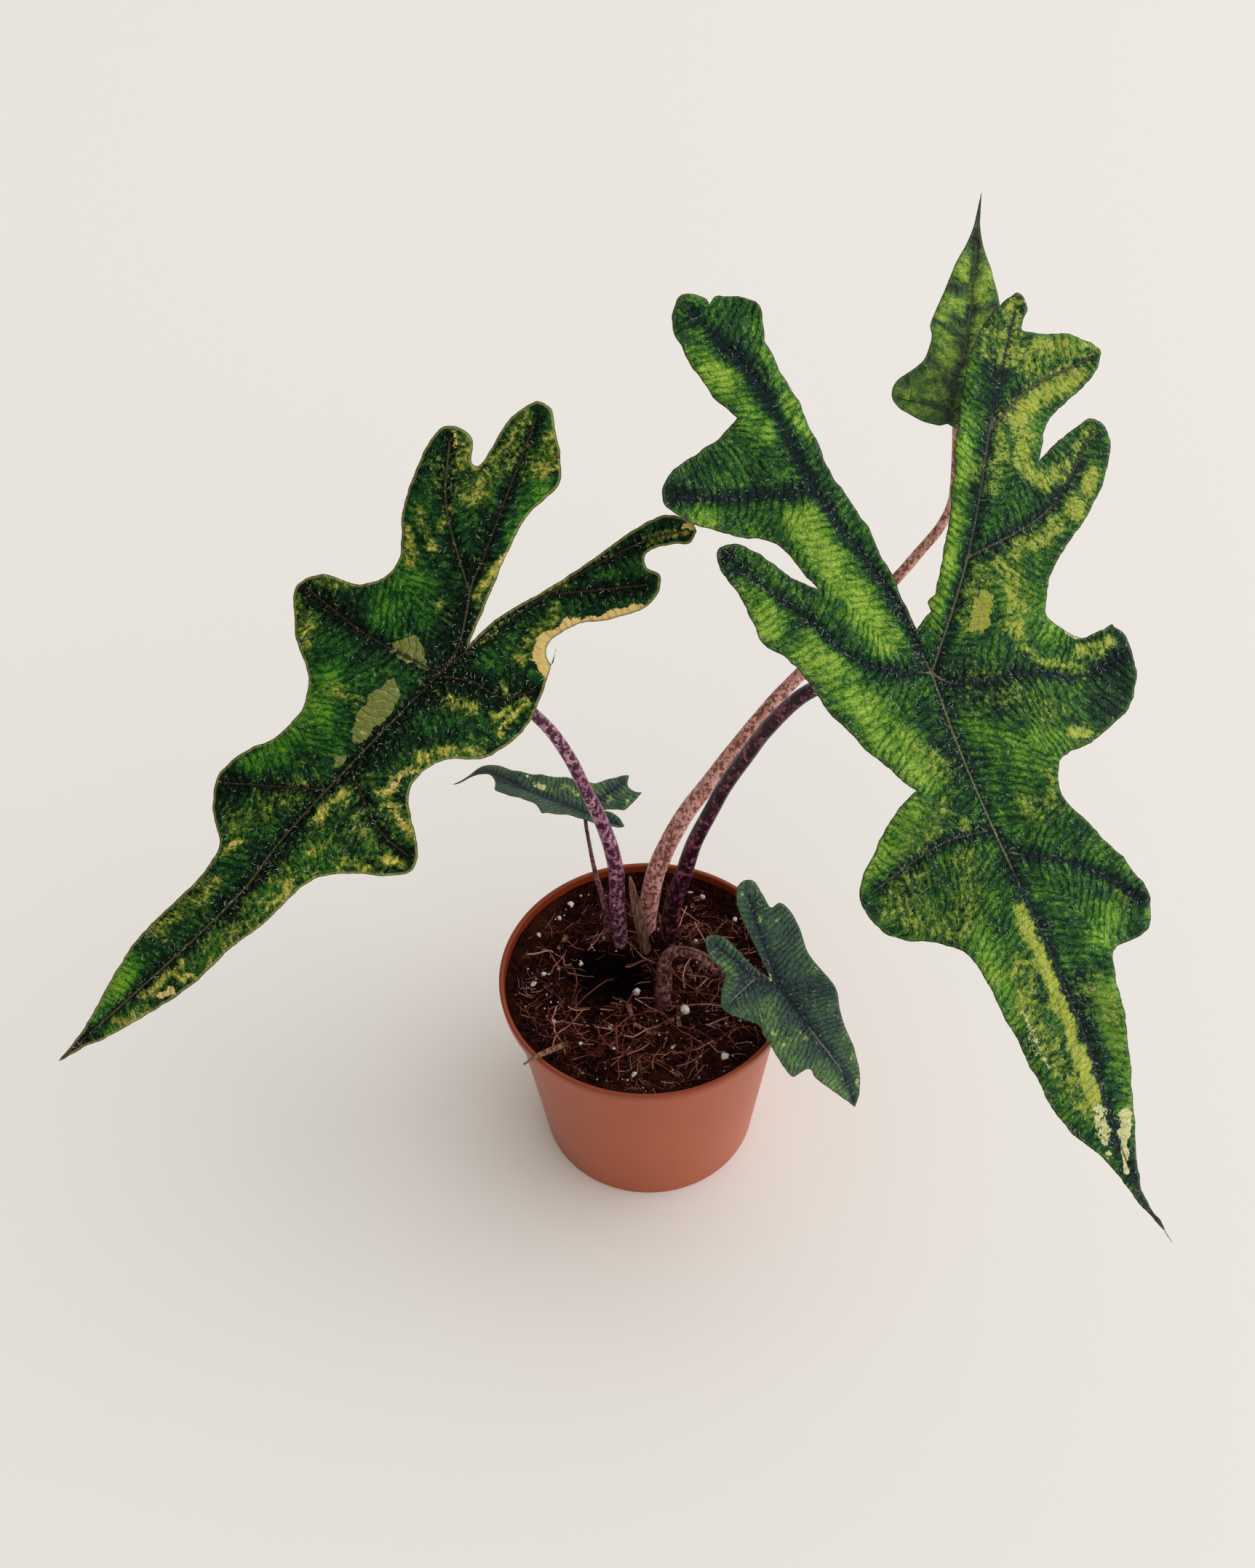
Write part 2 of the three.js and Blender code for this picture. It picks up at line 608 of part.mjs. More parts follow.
function soilBody() {
  const sectors = POT_SIDES;
  const rings = 13;
  const floor = WALL + SEAT_GAP;
  const points = [];
  const ringAt = (radius, height) => {
    for (let sector = 0; sector < sectors; sector += 1) {
      const angle = (2 * Math.PI * sector) / sectors;
      const x = radius * Math.cos(angle);
      const y = radius * Math.sin(angle);
      points.push(new THREE.Vector3(x, y, height ?? soilHeight(x, y)));
    }
  };
  const rimRadius = innerWallRadius(SOIL_LEVEL) - WALL_GAP;
  for (let ring = 1; ring <= rings; ring += 1) ringAt((rimRadius * ring) / rings);
  ringAt(innerWallRadius(SOIL_LEVEL - 4) - WALL_GAP, SOIL_LEVEL - 4);
  ringAt(innerWallRadius(4) - WALL_GAP, 4);
  ringAt(innerWallRadius(3) - WALL_GAP - 1, floor);
  const topCentre = points.push(new THREE.Vector3(0, 0, soilHeight(0, 0))) - 1;
  const floorCentre = points.push(new THREE.Vector3(0, 0, floor)) - 1;
  const triangles = [];
  const ringCount = rings + 3;
  for (let sector = 0; sector < sectors; sector += 1) {
    const next = (sector + 1) % sectors;
    triangles.push(topCentre, sector, next);
    for (let ring = 0; ring + 1 < ringCount; ring += 1) {
      const a = ring * sectors + sector;
      const b = ring * sectors + next;
      triangles.push(a, a + sectors, b, b, a + sectors, b + sectors);
    }
    triangles.push(floorCentre, (ringCount - 1) * sectors + next, (ringCount - 1) * sectors + sector);
  }
  return toSolid(indexedGeometry(points, triangles));
}

function grainGeometry(random) {
  const size = 1 + 1.1 * random();
  const grain = new THREE.IcosahedronGeometry(size, 0);
  grain.scale(1, 0.75 + 0.3 * random(), 0.8);
  grain.rotateZ(random() * Math.PI);
  return grain;
}

function chipGeometry(random) {
  const chip = new THREE.BoxGeometry(7 + 7 * random(), 2 + random(), 1.6);
  chip.rotateX(0.5 * (random() - 0.5));
  chip.rotateY(0.35 * (random() - 0.5));
  chip.rotateZ(random() * Math.PI);
  return chip;
}

// One long chip is stuck in the soil at the front left and reaches out over the rim

function longChipGeometry() {
  const path = [[-31, -27, 84], [-37.5, -34, 91], [-42, -39, 94.9], [-49, -46, 97.8]];
  return stemGeometry(path, [1.5, 1.3, 1.2, 0.5], 5, STEM_STEP);
}

function soilGeometry(stemHoles) {
  const random = seededRandom(41);
  let solid = soilBody();
  const scatter = (count, clearOfWall, shape) => {
    for (let i = 0; i < count; i += 1) {
      const radius = (innerWallRadius(SOIL_LEVEL) - clearOfWall) * Math.sqrt(random());
      const angle = 2 * Math.PI * random();
      const x = radius * Math.cos(angle);
      const y = radius * Math.sin(angle);
      const piece = shape(random);
      piece.translate(x, y, soilHeight(x, y) + 0.2);
      solid = solid.add(toSolid(piece));
    }
  };
  scatter(PERLITE_GRAINS, 5, grainGeometry);
  scatter(BARK_CHIPS, 11, chipGeometry);
  solid = solid.add(toSolid(longChipGeometry()));
  for (const hole of stemHoles) solid = solid.subtract(hole);
  return toGeometry(solid);
}

// Build the leaves and their stems

const stemHoles = [];
for (const stem of stems) {
  const { leaf } = stem;
  const mesh = bladeMesh(leaf);
  addPiece(`${leaf.name}_blade`, bladeSolid(leaf, mesh, 0, 0), material(leaf.color, 0.55));
  const seat = toSolid(bladeSolid(leaf, mesh, BLADE_THICKNESS * 9, SEAT_GAP));
  const round = toSolid(stemGeometry(stem.path, stem.radii, STEM_SIDES, STEM_STEP));
  addPiece(`${leaf.name}_stem`, toGeometry(round.subtract(seat)), material(stem.color, 0.5));
  const [start, surface, above] = stem.path;
  const holePath = [[start[0], start[1], start[2] - SEAT_GAP], surface, above];
  const holeRadius = Math.max(...stem.radii) + HOLE_GAP;
  stemHoles.push(toSolid(stemGeometry(holePath, [holeRadius, holeRadius], STEM_SIDES, STEM_STEP)));
}

// Sheath: a dry pointed blade, curled into a gutter that is open to the back

function sheathGeometry() {
  const rows = 9;
  const columns = 5;
  const outer = [];
  const inner = [];
  for (let row = 0; row <= rows; row += 1) {
    const along = row / rows;
    const halfWidth = SHEATH_HALF_WIDTH * Math.sqrt(1.02 - along ** 3);
    for (let column = 0; column <= columns; column += 1) {
      const turn = ((column / columns) * 2 - 1) * 1.1;
      const side = new THREE.Vector3(Math.sin(turn), -Math.cos(turn), 0);
      const centre = SHEATH_FOOT.clone().lerp(SHEATH_TIP, along);
      outer.push(centre.clone().addScaledVector(side, halfWidth + SHEATH_THICKNESS / 2));
      inner.push(centre.clone().addScaledVector(side, Math.max(0.1, halfWidth - SHEATH_THICKNESS / 2)));
    }
  }
  const count = outer.length;
  const width = columns + 1;
  const triangles = [];
  const wall = (a, b, c, d) => triangles.push(a, b, c, a, c, d);
  for (let row = 0; row < rows; row += 1) {
    for (let column = 0; column < columns; column += 1) {
      const a = row * width + column;
      wall(a, a + 1, a + 1 + width, a + width);
      wall(count + a, count + a + width, count + a + 1 + width, count + a + 1);
    }
    const left = row * width;
    const right = left + columns;
    wall(left, left + width, count + left + width, count + left);
    wall(right, count + right, count + right + width, right + width);
  }
  for (let column = 0; column < columns; column += 1) {
    const top = rows * width + column;
    wall(column + 1, column, count + column, count + column + 1);
    wall(top, top + 1, count + top + 1, count + top);
  }
  return indexedGeometry([...outer, ...inner], triangles);
}

function sheathHoleGeometry() {
  const radius = SHEATH_HALF_WIDTH + SHEATH_THICKNESS / 2 + SEAT_GAP;
  const path = [-0.01, 0.2, 0.4].map((along) => SHEATH_FOOT.clone().lerp(SHEATH_TIP, along).toArray());
  return stemGeometry(path, [radius, radius], STEM_SIDES * 2, STEM_STEP);
}

stemHoles.push(toSolid(sheathHoleGeometry()));

addPiece("sheath", sheathGeometry(), material(0x6b5b3a, 0.8));

addPiece("pot", potGeometry(), material(0xb4583a, 0.45));
addPiece("soil", soilGeometry(stemHoles), material(0x35201a, 0.95));

export default group;
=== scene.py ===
import math

import bmesh
import bpy
import numpy as np
from mathutils import Matrix, Vector, noise
from mathutils.geometry import delaunay_2d_cdt


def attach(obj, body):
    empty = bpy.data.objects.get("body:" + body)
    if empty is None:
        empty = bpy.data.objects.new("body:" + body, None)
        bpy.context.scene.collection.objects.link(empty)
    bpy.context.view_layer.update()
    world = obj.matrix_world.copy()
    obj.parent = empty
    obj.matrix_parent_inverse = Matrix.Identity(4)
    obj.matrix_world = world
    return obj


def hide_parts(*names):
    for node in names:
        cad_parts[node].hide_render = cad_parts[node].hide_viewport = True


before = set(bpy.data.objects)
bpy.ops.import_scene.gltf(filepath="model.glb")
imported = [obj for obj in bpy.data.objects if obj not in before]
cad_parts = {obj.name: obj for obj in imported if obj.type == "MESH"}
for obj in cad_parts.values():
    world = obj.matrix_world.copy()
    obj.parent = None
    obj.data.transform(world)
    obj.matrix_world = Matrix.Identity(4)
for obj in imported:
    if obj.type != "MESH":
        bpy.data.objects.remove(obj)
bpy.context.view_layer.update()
MM = 0.001
METRE = 1000

# Pot
# A round nursery pot, injection moulded in terracotta-coloured polypropylene, with a rim band turned
# out at the shoulder and six drain holes cored through its floor.

POT_HEIGHT = 93
RIM_RADIUS = 60
WALL_TOP_RADIUS = 56
BASE_RADIUS = 44.5
WALL = 1.4
RIM_BAND = 5.5
SHOULDER = POT_HEIGHT - RIM_BAND
LEDGE = SHOULDER + 0.8
CORNER_RADIUS = 0.8
CORNER_STEPS = 4
DRAIN_HOLES = 6
DRAIN_HOLE_RADIUS = 4
DRAIN_HOLE_CIRCLE = 32
DRAIN_HOLE_SIDES = 24
POT_SIDES = 144
FLOW_MARKS = 30
DUST_SPECKS = 1.2
MOULD_RINGS = 0.9


def colour(hex_code):
    """A linear colour from an sRGB hex value."""
    channels = [int(hex_code[i:i + 2], 16) / 255 for i in (1, 3, 5)]
    linear = [c / 12.92 if c <= 0.04045 else ((c + 0.055) / 1.055) ** 2.4 for c in channels]
    return (*linear, 1)


def add_node(tree, kind, inputs=None, **settings):
    """Adds a node; each input takes a value or the socket it is linked to."""
    node = tree.nodes.new(kind)
    for name, value in settings.items():
        setattr(node, name, value)
    for name, value in (inputs or {}).items():
        if isinstance(value, bpy.types.NodeSocket):
            tree.links.new(value, node.inputs[name])
        else:
            node.inputs[name].default_value = value
    return node


def new_surface(name, **constants):
    """A material with one Principled shader; returns the material, its tree and the shader."""
    material = bpy.data.materials.new(name)
    material.use_nodes = True
    tree = material.node_tree
    shader = tree.nodes["Principled BSDF"]
    for socket, value in constants.items():
        shader.inputs[socket.replace("_", " ")].default_value = value
    return material, tree, shader


def weighed(tree, start, terms):
    """A starting value plus each socket times its weight."""
    for socket, weight in terms:
        start = add_node(tree, "ShaderNodeMath", {0: socket, 1: weight, 2: start},
                         operation="MULTIPLY_ADD").outputs[0]
    return start


def layered(tree, ground, layers):
    """Colours laid over a ground colour in turn, each by the product of its shares."""
    surface = colour(ground) if isinstance(ground, str) else ground
    for whole, *shares, tone in layers:
        for share in shares:
            whole = add_node(tree, "ShaderNodeMath", {0: whole, 1: share}, operation="MULTIPLY").outputs[0]
        surface = add_node(tree, "ShaderNodeMix", {0: whole, 6: surface, 7: colour(tone)},
                           data_type="RGBA").outputs[2]
    return surface


def finish_surface(tree, shader, surface, relief, depth, strength=1):
    """Gives the shader its colour, and its relief with a depth in millimetres."""
    bump = add_node(tree, "ShaderNodeBump", {"Strength": strength, "Distance": depth * MM, "Height": relief})
    tree.links.new(surface, shader.inputs["Base Color"])
    tree.links.new(bump.outputs[0], shader.inputs["Normal"])


def mesh_piece(name, points_mm, faces, materials):
    """An object at the origin whose smooth mesh is given in millimetres."""
    mesh = bpy.data.meshes.new(name)
    mesh.from_pydata([tuple(c * MM for c in point) for point in points_mm], [], faces)
    mesh.polygons.foreach_set("use_smooth", [True] * len(mesh.polygons))
    for material in materials:
        mesh.materials.append(material)
    mesh.update()
    piece = bpy.data.objects.new(name, mesh)
    bpy.context.scene.collection.objects.link(piece)
    return piece


def applied(piece):
    """Turns a piece's modifiers into plain mesh and removes them."""
    graph = bpy.context.evaluated_depsgraph_get()
    finished = bpy.data.meshes.new_from_object(piece.evaluated_get(graph))
    piece.modifiers.clear()
    piece.data = finished
    return piece


def circle(radius, height, sides, centre=(0, 0)):
    """A level ring of points."""
    turns = [2 * math.pi * side / sides for side in range(sides)]
    return [
        (centre[0] + radius * math.cos(turn), centre[1] + radius * math.sin(turn), height) for turn in turns
    ]


def ringed(first, rings, last):
    """Points and faces of a closed skin from a first point over rings of points to a last point."""
    sides = len(rings[0])
    points = [first, *(point for ring in rings for point in ring), last]
    top = len(points) - 1 - sides
    faces = []
    for side in range(sides):
        after = (side + 1) % sides
        faces.append((0, 1 + after, 1 + side))
        for low in range(1, top, sides):
            faces.append((low + side, low + after, low + sides + after, low + sides + side))
        faces.append((top + side, top + after, len(points) - 1))
    return points, faces


def turned(profile, sides, centre=(0, 0)):
    """Points and faces of a profile of (radius, height) turned round an upright axis through the centre."""
    rings = [circle(radius, height, sides, centre) for radius, height in profile[1:-1]]
    return ringed((*centre, profile[0][1]), rings, (*centre, profile[-1][1]))


def rounded(corners, radius):
    """A profile whose inner corners are rounded by the radius."""
    profile = [corners[0]]
    for before, corner, after in zip(corners, corners[1:], corners[2:]):
        corner_point = np.array(corner, float)
        into = np.array(before, float) - corner_point
        out = np.array(after, float) - corner_point
        reach = min(radius, 0.45 * np.linalg.norm(into), 0.45 * np.linalg.norm(out))
        start = corner_point + into / np.linalg.norm(into) * reach
        end = corner_point + out / np.linalg.norm(out) * reach
        for step in range(CORNER_STEPS + 1):
            t = step / CORNER_STEPS
            profile.append(tuple((1 - t) ** 2 * start + 2 * t * (1 - t) * corner_point + t * t * end))
    profile.append(corners[-1])
    return profile


pot_profile = rounded([
    (0, 0), (BASE_RADIUS, 0), (WALL_TOP_RADIUS, SHOULDER - 0.4), (RIM_RADIUS - 0.7, SHOULDER - 0.1),
    (RIM_RADIUS, POT_HEIGHT), (RIM_RADIUS - 2.1, POT_HEIGHT), (RIM_RADIUS - 2.5, LEDGE + 0.8),
    (WALL_TOP_RADIUS - WALL, LEDGE), (BASE_RADIUS - WALL, WALL), (0, WALL),
], CORNER_RADIUS)

# Polypropylene with a terracotta pigment, satin from the mould: an even colour with faint flow marks, fine
# rings from the turned mould and a film of dust. The lip and the inside of the rim are darker, partly a
# damp-soil stain and partly painted shade.
pot_plastic, tree, shader = new_surface(
    "terracotta polypropylene", Roughness=0.38, IOR=1.49, Specular_IOR_Level=0.4
)
place = add_node(tree, "ShaderNodeTexCoord").outputs["Object"]
flow, dust = (
    add_node(tree, "ShaderNodeTexNoise", {
        "Vector": place, "Scale": METRE / size, "Detail": detail,
    }).outputs[0]
    for size, detail in ((FLOW_MARKS, 3), (DUST_SPECKS, 4))
)
dusty = add_node(tree, "ShaderNodeMapRange", {0: dust, 1: 0.55, 2: 0.8, 4: 0.07}).outputs[0]
height = add_node(tree, "ShaderNodeSeparateXYZ", {0: place}).outputs["Z"]
on_rim = add_node(tree, "ShaderNodeMath", {0: height, 1: SHOULDER * MM}, operation="GREATER_THAN").outputs[0]
off_axis = add_node(tree, "ShaderNodeVectorMath", {0: place, 1: (1, 1, 0)}, operation="MULTIPLY").outputs[0]
off_axis = add_node(tree, "ShaderNodeVectorMath", {0: off_axis}, operation="LENGTH").outputs["Value"]
# Darker lip and inside of the rim: partly a damp-soil stain, partly painted shade.
lip_stain_and_shade, inner_side_stain_and_shade = (
    add_node(tree, "ShaderNodeMapRange", {0: value, 1: low * MM, 2: high * MM, 4: 0.5},
             interpolation_type="SMOOTHSTEP").outputs[0]
    for value, low, high in (
        (height, POT_HEIGHT - 5, POT_HEIGHT - 0.5), (off_axis, RIM_RADIUS - 1.4, RIM_RADIUS - 2),
    )
)
surface = layered(tree, "#9c4116", [
    (flow, "#ae4f1e"), (dusty, "#bd7f62"), (lip_stain_and_shade, on_rim, "#6a1f10"), (inner_side_stain_and_shade, on_rim, "#6a1f10"),
])
rings = weighed(tree, 0, [(height, 2 * math.pi * METRE / MOULD_RINGS)])
rings = add_node(tree, "ShaderNodeMath", {0: rings}, operation="SINE").outputs[0]
finish_surface(tree, shader, surface, weighed(tree, flow, [(rings, 0.12)]), 0.15, 0.5)

pot_points, pot_faces = turned(pot_profile, POT_SIDES)
pot = mesh_piece("nursery_pot", pot_points, pot_faces, [pot_plastic])
cutter_points = []
cutter_faces = []
for x, y, low in circle(DRAIN_HOLE_CIRCLE, -2, DRAIN_HOLES):
    points, faces = turned(
        [(0, low), (DRAIN_HOLE_RADIUS, low), (DRAIN_HOLE_RADIUS, 2 * WALL), (0, 2 * WALL)],
        DRAIN_HOLE_SIDES, (x, y),
    )
    cutter_faces += [[len(cutter_points) + corner for corner in face] for face in faces]
    cutter_points += points
cutter = mesh_piece("drain_hole_cutter", cutter_points, cutter_faces, [])
holes = pot.modifiers.new("drain holes", "BOOLEAN")
holes.object = cutter
holes.solver = "EXACT"
applied(pot)
bpy.data.objects.remove(cutter)
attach(pot, "root")
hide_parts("pot")

# Potting mix
# Moist peat and coir pressed into the pot by hand: a lumpy bed with a hollow in front of the stems,
# heaped against the wall so that it covers the step under the rim.

SOIL_LEVEL = 84
HOLLOW_DEPTH = 7
HOLLOW_CENTRE = (-15, 6, 78)
HOLLOW_EDGE = (14, 24)
FLOOR_GAP = 0.3
WALL_GAP = 0.4
LEDGE_RADIUS = 57.1
LEDGE_SOIL = 90
HEAP_RADIUS = 47
SOIL_RINGS = 62
SOIL_SECTORS = 200
CLOD_SIZE = 6
CRUMB_SIZE = 2.1
DAMP_PATCHES = 20


def near_place(x, y, place, reach):
    """1 at a place on the bed, falling softly to 0 past its reach across and towards the back."""
    return math.exp(-(((x - place[0]) / reach[0]) ** 2) - ((y - place[1]) / reach[1]) ** 2)


def soil_form(x, y):
    """The height of the bed without its crumbs, the same shape as the solid's."""
    lumps = 0.9 * math.sin(x / 5.3 + 1.3) * math.cos(y / 4.1) + 0.8 * math.sin((x + 2 * y) / 7.9)
    lumps += 0.6 * math.cos((3 * x - y) / 9.1)
    hollow = HOLLOW_DEPTH * near_place(x, y, (-13, 11), (15, 11))
    mound = 2.5 * near_place(x, y, (0, -22), (26, 14))
    bank = 2 * (math.hypot(x, y) / WALL_TOP_RADIUS) ** 6
    return SOIL_LEVEL + lumps - hollow + mound + bank


def soil_height(x, y):
    """The height of the bed with its crumbs, and heaped up to the ledge at the wall."""
    clods = noise.fractal(Vector((x / CLOD_SIZE, y / CLOD_SIZE, 2.5)), 0.8, 2.1, 3)
    crumbs = noise.fractal(Vector((x / CRUMB_SIZE, y / CRUMB_SIZE, 0.5)), 0.7, 2.1, 3)
    heap = min(1, max(0, (math.hypot(x, y) - HEAP_RADIUS) / (LEDGE_RADIUS - HEAP_RADIUS)))
    deepest = 3.5 * near_place(x, y, (-11, 9), (10, 7))
    loose = soil_form(x, y) - deepest + 1.2 * clods + 0.8 * crumbs
    return loose + (LEDGE_SOIL + 0.5 * clods - loose) * heap ** 2


def against_wall(height):
    """The soil's radius at a height under the pot's ledge."""
    slope = (WALL_TOP_RADIUS - BASE_RADIUS) / (LEDGE - WALL)
    return BASE_RADIUS - WALL + slope * (height - WALL) - WALL_GAP


soil_rings = [
    [(x, y, soil_height(x, y)) for x, y, level in circle(LEDGE_RADIUS * ring / SOIL_RINGS, 0, SOIL_SECTORS)]
    for ring in range(1, SOIL_RINGS + 1)
] + [
    circle(radius, height, SOIL_SECTORS) for radius, height in (
        (LEDGE_RADIUS - 0.1, LEDGE + 1), (against_wall(SHOULDER), LEDGE + 0.1),
        (against_wall(SHOULDER - 3), SHOULDER - 3), (against_wall(4), 4),
        (against_wall(4) - 1, WALL + FLOOR_GAP),
    )
]
soil_points, soil_faces = ringed((0, 0, soil_height(0, 0)), soil_rings, (0, 0, WALL + FLOOR_GAP))
soil_faces = [(first, *others[::-1]) for first, *others in soil_faces]

# Moist peat: nearly black in the gaps and red-brown on the crumbs, with the faint gleam of damp. The hollow
# in front of the stems is painted near black as shade.
peat, tree, shader = new_surface("moist peat", Roughness=0.7, Specular_IOR_Level=0.04)
place = add_node(tree, "ShaderNodeTexCoord").outputs["Object"]
crumbs = add_node(tree, "ShaderNodeTexNoise", {
    "Vector": place, "Scale": METRE / 2.4, "Detail": 6, "Roughness": 0.7,
}).outputs[0]
clods = add_node(tree, "ShaderNodeTexVoronoi", {"Vector": place, "Scale": METRE / 1.8}).outputs[0]
damp = add_node(tree, "ShaderNodeTexNoise", {
    "Vector": place, "Scale": METRE / DAMP_PATCHES, "Detail": 2,
}).outputs[0]
shade = add_node(tree, "ShaderNodeMapRange", {0: crumbs, 1: 0.42, 2: 0.75}).outputs[0]
dry = add_node(tree, "ShaderNodeMapRange", {0: damp, 1: 0.5, 2: 0.75, 4: 0.35}).outputs[0]
# Painted shade: the colour falls to near black in the hollow in front of the stems.
from_hollow = add_node(tree, "ShaderNodeVectorMath", {
    0: place, 1: [c * MM for c in HOLLOW_CENTRE],
}, operation="DISTANCE").outputs["Value"]
painted_hollow_shade = add_node(tree, "ShaderNodeMapRange", {
    0: from_hollow, 1: HOLLOW_EDGE[0] * MM, 2: HOLLOW_EDGE[1] * MM, 3: 0.92, 4: 0,
}, interpolation_type="SMOOTHSTEP").outputs[0]
surface = layered(tree, "#0b0302", [(shade, "#481c12"), (dry, "#5c2c1e"), (painted_hollow_shade, "#040101")])
finish_surface(tree, shader, surface, weighed(tree, crumbs, [(clods, -1)]), 1.2)

soil = mesh_piece("potting_mix", soil_points, soil_faces, [peat])
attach(soil, "root")
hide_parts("soil")

# Loose matter in the mix
# Coir fibres, peat crumbs, bark chips and perlite grains lie half sunk in the bed, as they came out of
# the bag. Fibres, crumbs and chips are strewn by seeded rule; the larger perlite grains lie as seen.

FIBRE_JOINTS = 8
FIBRE_SLIMNESS = 0.011
LARGEST_TILT = 0.35
ROD_CAP = 0.3
LONG_CHIP = [(-31, -27, 85), (-37.5, -34, 91), (-42, -39, 94.9), (-49, -46, 97.8)]
LONG_CHIP_HALF_WIDTHS = [1.1, 1.3, 1.1, 0.3]
PERLITE_GRAINS = [
    (25, 45, 1.2), (21, 23, 1.2), (-17, 29, 1.3), (-4, -2, 1.7), (15, -14, 1.9), (10, -31, 1.3),
    (30, -37, 1.6), (-46, 3, 1.4), (-42, 8, 1.2), (-15, -20, 1.2), (-14, -32, 1.2), (-27, -29, 1.1),
    (-27, 16, 1.2), (38, 33, 1.3), (-31, 43, 1.4), (20, 48, 1.3), (-36, 37, 1.2), (-44, 27, 1.1),
    (41, -12, 1.4), (-6, -44, 1.2), (-38, -16, 1), (4, 38, 1.1),
]


def new_grower(name, labels):
    """A Geometry Nodes tree with an input for each label; returns the tree and the inputs' sockets."""
    tree = bpy.data.node_groups.new(name, "GeometryNodeTree")
    tree.interface.new_socket("Geometry", in_out="INPUT", socket_type="NodeSocketGeometry")
    for label in labels:
        kind = "NodeSocketInt" if label == "Seed" else "NodeSocketFloat"
        tree.interface.new_socket(label, in_out="INPUT", socket_type=kind)
    tree.interface.new_socket("Geometry", in_out="OUTPUT", socket_type="NodeSocketGeometry")
    return tree, tree.nodes.new("NodeGroupInput").outputs


def grown_on(ground, name, tree, settings):
    """A new piece: what the tree grows on a copy of the ground's mesh."""
    piece = bpy.data.objects.new(name, ground.data.copy())
    bpy.context.scene.collection.objects.link(piece)
    modifier = piece.modifiers.new(name, "NODES")
    modifier.node_group = tree
    for item in tree.interface.items_tree:
        if item.name in settings:
            modifier[item.identifier] = settings[item.name]
    return applied(piece)


def strewn(name, material, make_grain, settings):
    """Strews grains over the bed; make_grain adds one grain's nodes to the tree. Lengths are in metres and
    densities are grains on a square metre."""
    tree, given = new_grower(name, settings)
    up = add_node(tree, "ShaderNodeSeparateXYZ", {0: add_node(tree, "GeometryNodeInputNormal").outputs[0]})
    upward = add_node(tree, "FunctionNodeCompare", {0: up.outputs["Z"], 1: 0.2}, operation="GREATER_THAN")
    place = add_node(tree, "GeometryNodeInputPosition").outputs[0]
    off_axis = add_node(tree, "ShaderNodeVectorMath", {0: place, 1: (1, 1, 0)}, operation="MULTIPLY")
    off_axis = add_node(tree, "ShaderNodeVectorMath", {0: off_axis.outputs[0]}, operation="LENGTH")
    inner = add_node(tree, "FunctionNodeCompare", {0: off_axis.outputs["Value"], 1: given["Reach"]},
                     operation="LESS_THAN")
    from_hollow = add_node(tree, "ShaderNodeVectorMath", {0: place, 1: [c * MM for c in HOLLOW_CENTRE]},
                           operation="DISTANCE")
    full = add_node(tree, "ShaderNodeMapRange", {
        0: from_hollow.outputs["Value"], 1: HOLLOW_EDGE[0] * MM, 2: HOLLOW_EDGE[1] * MM,
        3: given["In the hollow"], 4: given["Density"],
    })
    chosen = add_node(tree, "FunctionNodeBooleanMath", {0: upward.outputs[0], 1: inner.outputs[0]})
    spread = add_node(tree, "GeometryNodeDistributePointsOnFaces", {
        "Mesh": given["Geometry"], "Selection": chosen.outputs[0], "Density": full.outputs[0],
        "Seed": given["Seed"],
    })
    tilt = add_node(tree, "FunctionNodeRandomValue", {
        0: (-LARGEST_TILT, -LARGEST_TILT, -math.pi), 1: (LARGEST_TILT, LARGEST_TILT, math.pi),
        "Seed": given["Seed"],
    }, data_type="FLOAT_VECTOR")
    size = add_node(tree, "FunctionNodeRandomValue", {
        2: given["Smallest"], 3: given["Largest"], "Seed": given["Seed"],
    })
    tint = add_node(tree, "FunctionNodeRandomValue", {"Seed": given["Seed"]})
    lifted = add_node(tree, "GeometryNodeSetPosition", {
        "Geometry": spread.outputs["Points"],
        "Offset": add_node(tree, "ShaderNodeCombineXYZ", {2: given["Lift"]}).outputs[0],
    })
    placed = add_node(tree, "GeometryNodeInstanceOnPoints", {
        "Points": lifted.outputs[0], "Instance": make_grain(tree), "Rotation": tilt.outputs[0],
        "Scale": size.outputs[1],
    })
    tinted = add_node(tree, "GeometryNodeStoreNamedAttribute", {
        "Geometry": placed.outputs[0], "Name": "tint", "Value": tint.outputs[1],
    }, domain="INSTANCE")
    real = add_node(tree, "GeometryNodeRealizeInstances", {0: tinted.outputs[0]})
    bend = add_node(tree, "ShaderNodeTexNoise", {"Vector": place, "Scale": given["Bends"], "Detail": 1})
    bend = add_node(tree, "ShaderNodeVectorMath", {0: bend.outputs["Color"], 1: (0.5, 0.5, 0.5)},
                    operation="SUBTRACT")
    bend = add_node(tree, "ShaderNodeVectorMath", {0: bend.outputs[0], 1: (1, 1, 0.5)},
                    operation="MULTIPLY")
    bend = add_node(tree, "ShaderNodeVectorMath", {0: bend.outputs[0], "Scale": given["Bend depth"]},
                    operation="SCALE")
    bent = add_node(tree, "GeometryNodeSetPosition", {
        "Geometry": real.outputs[0], "Offset": bend.outputs[0],
    })
    dressed = add_node(tree, "GeometryNodeSetMaterial", {"Geometry": bent.outputs[0], "Material": material})
    tree.links.new(dressed.outputs[0], tree.nodes.new("NodeGroupOutput").inputs[0])
    piece = grown_on(soil, name, tree, settings)
    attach(piece, "root")


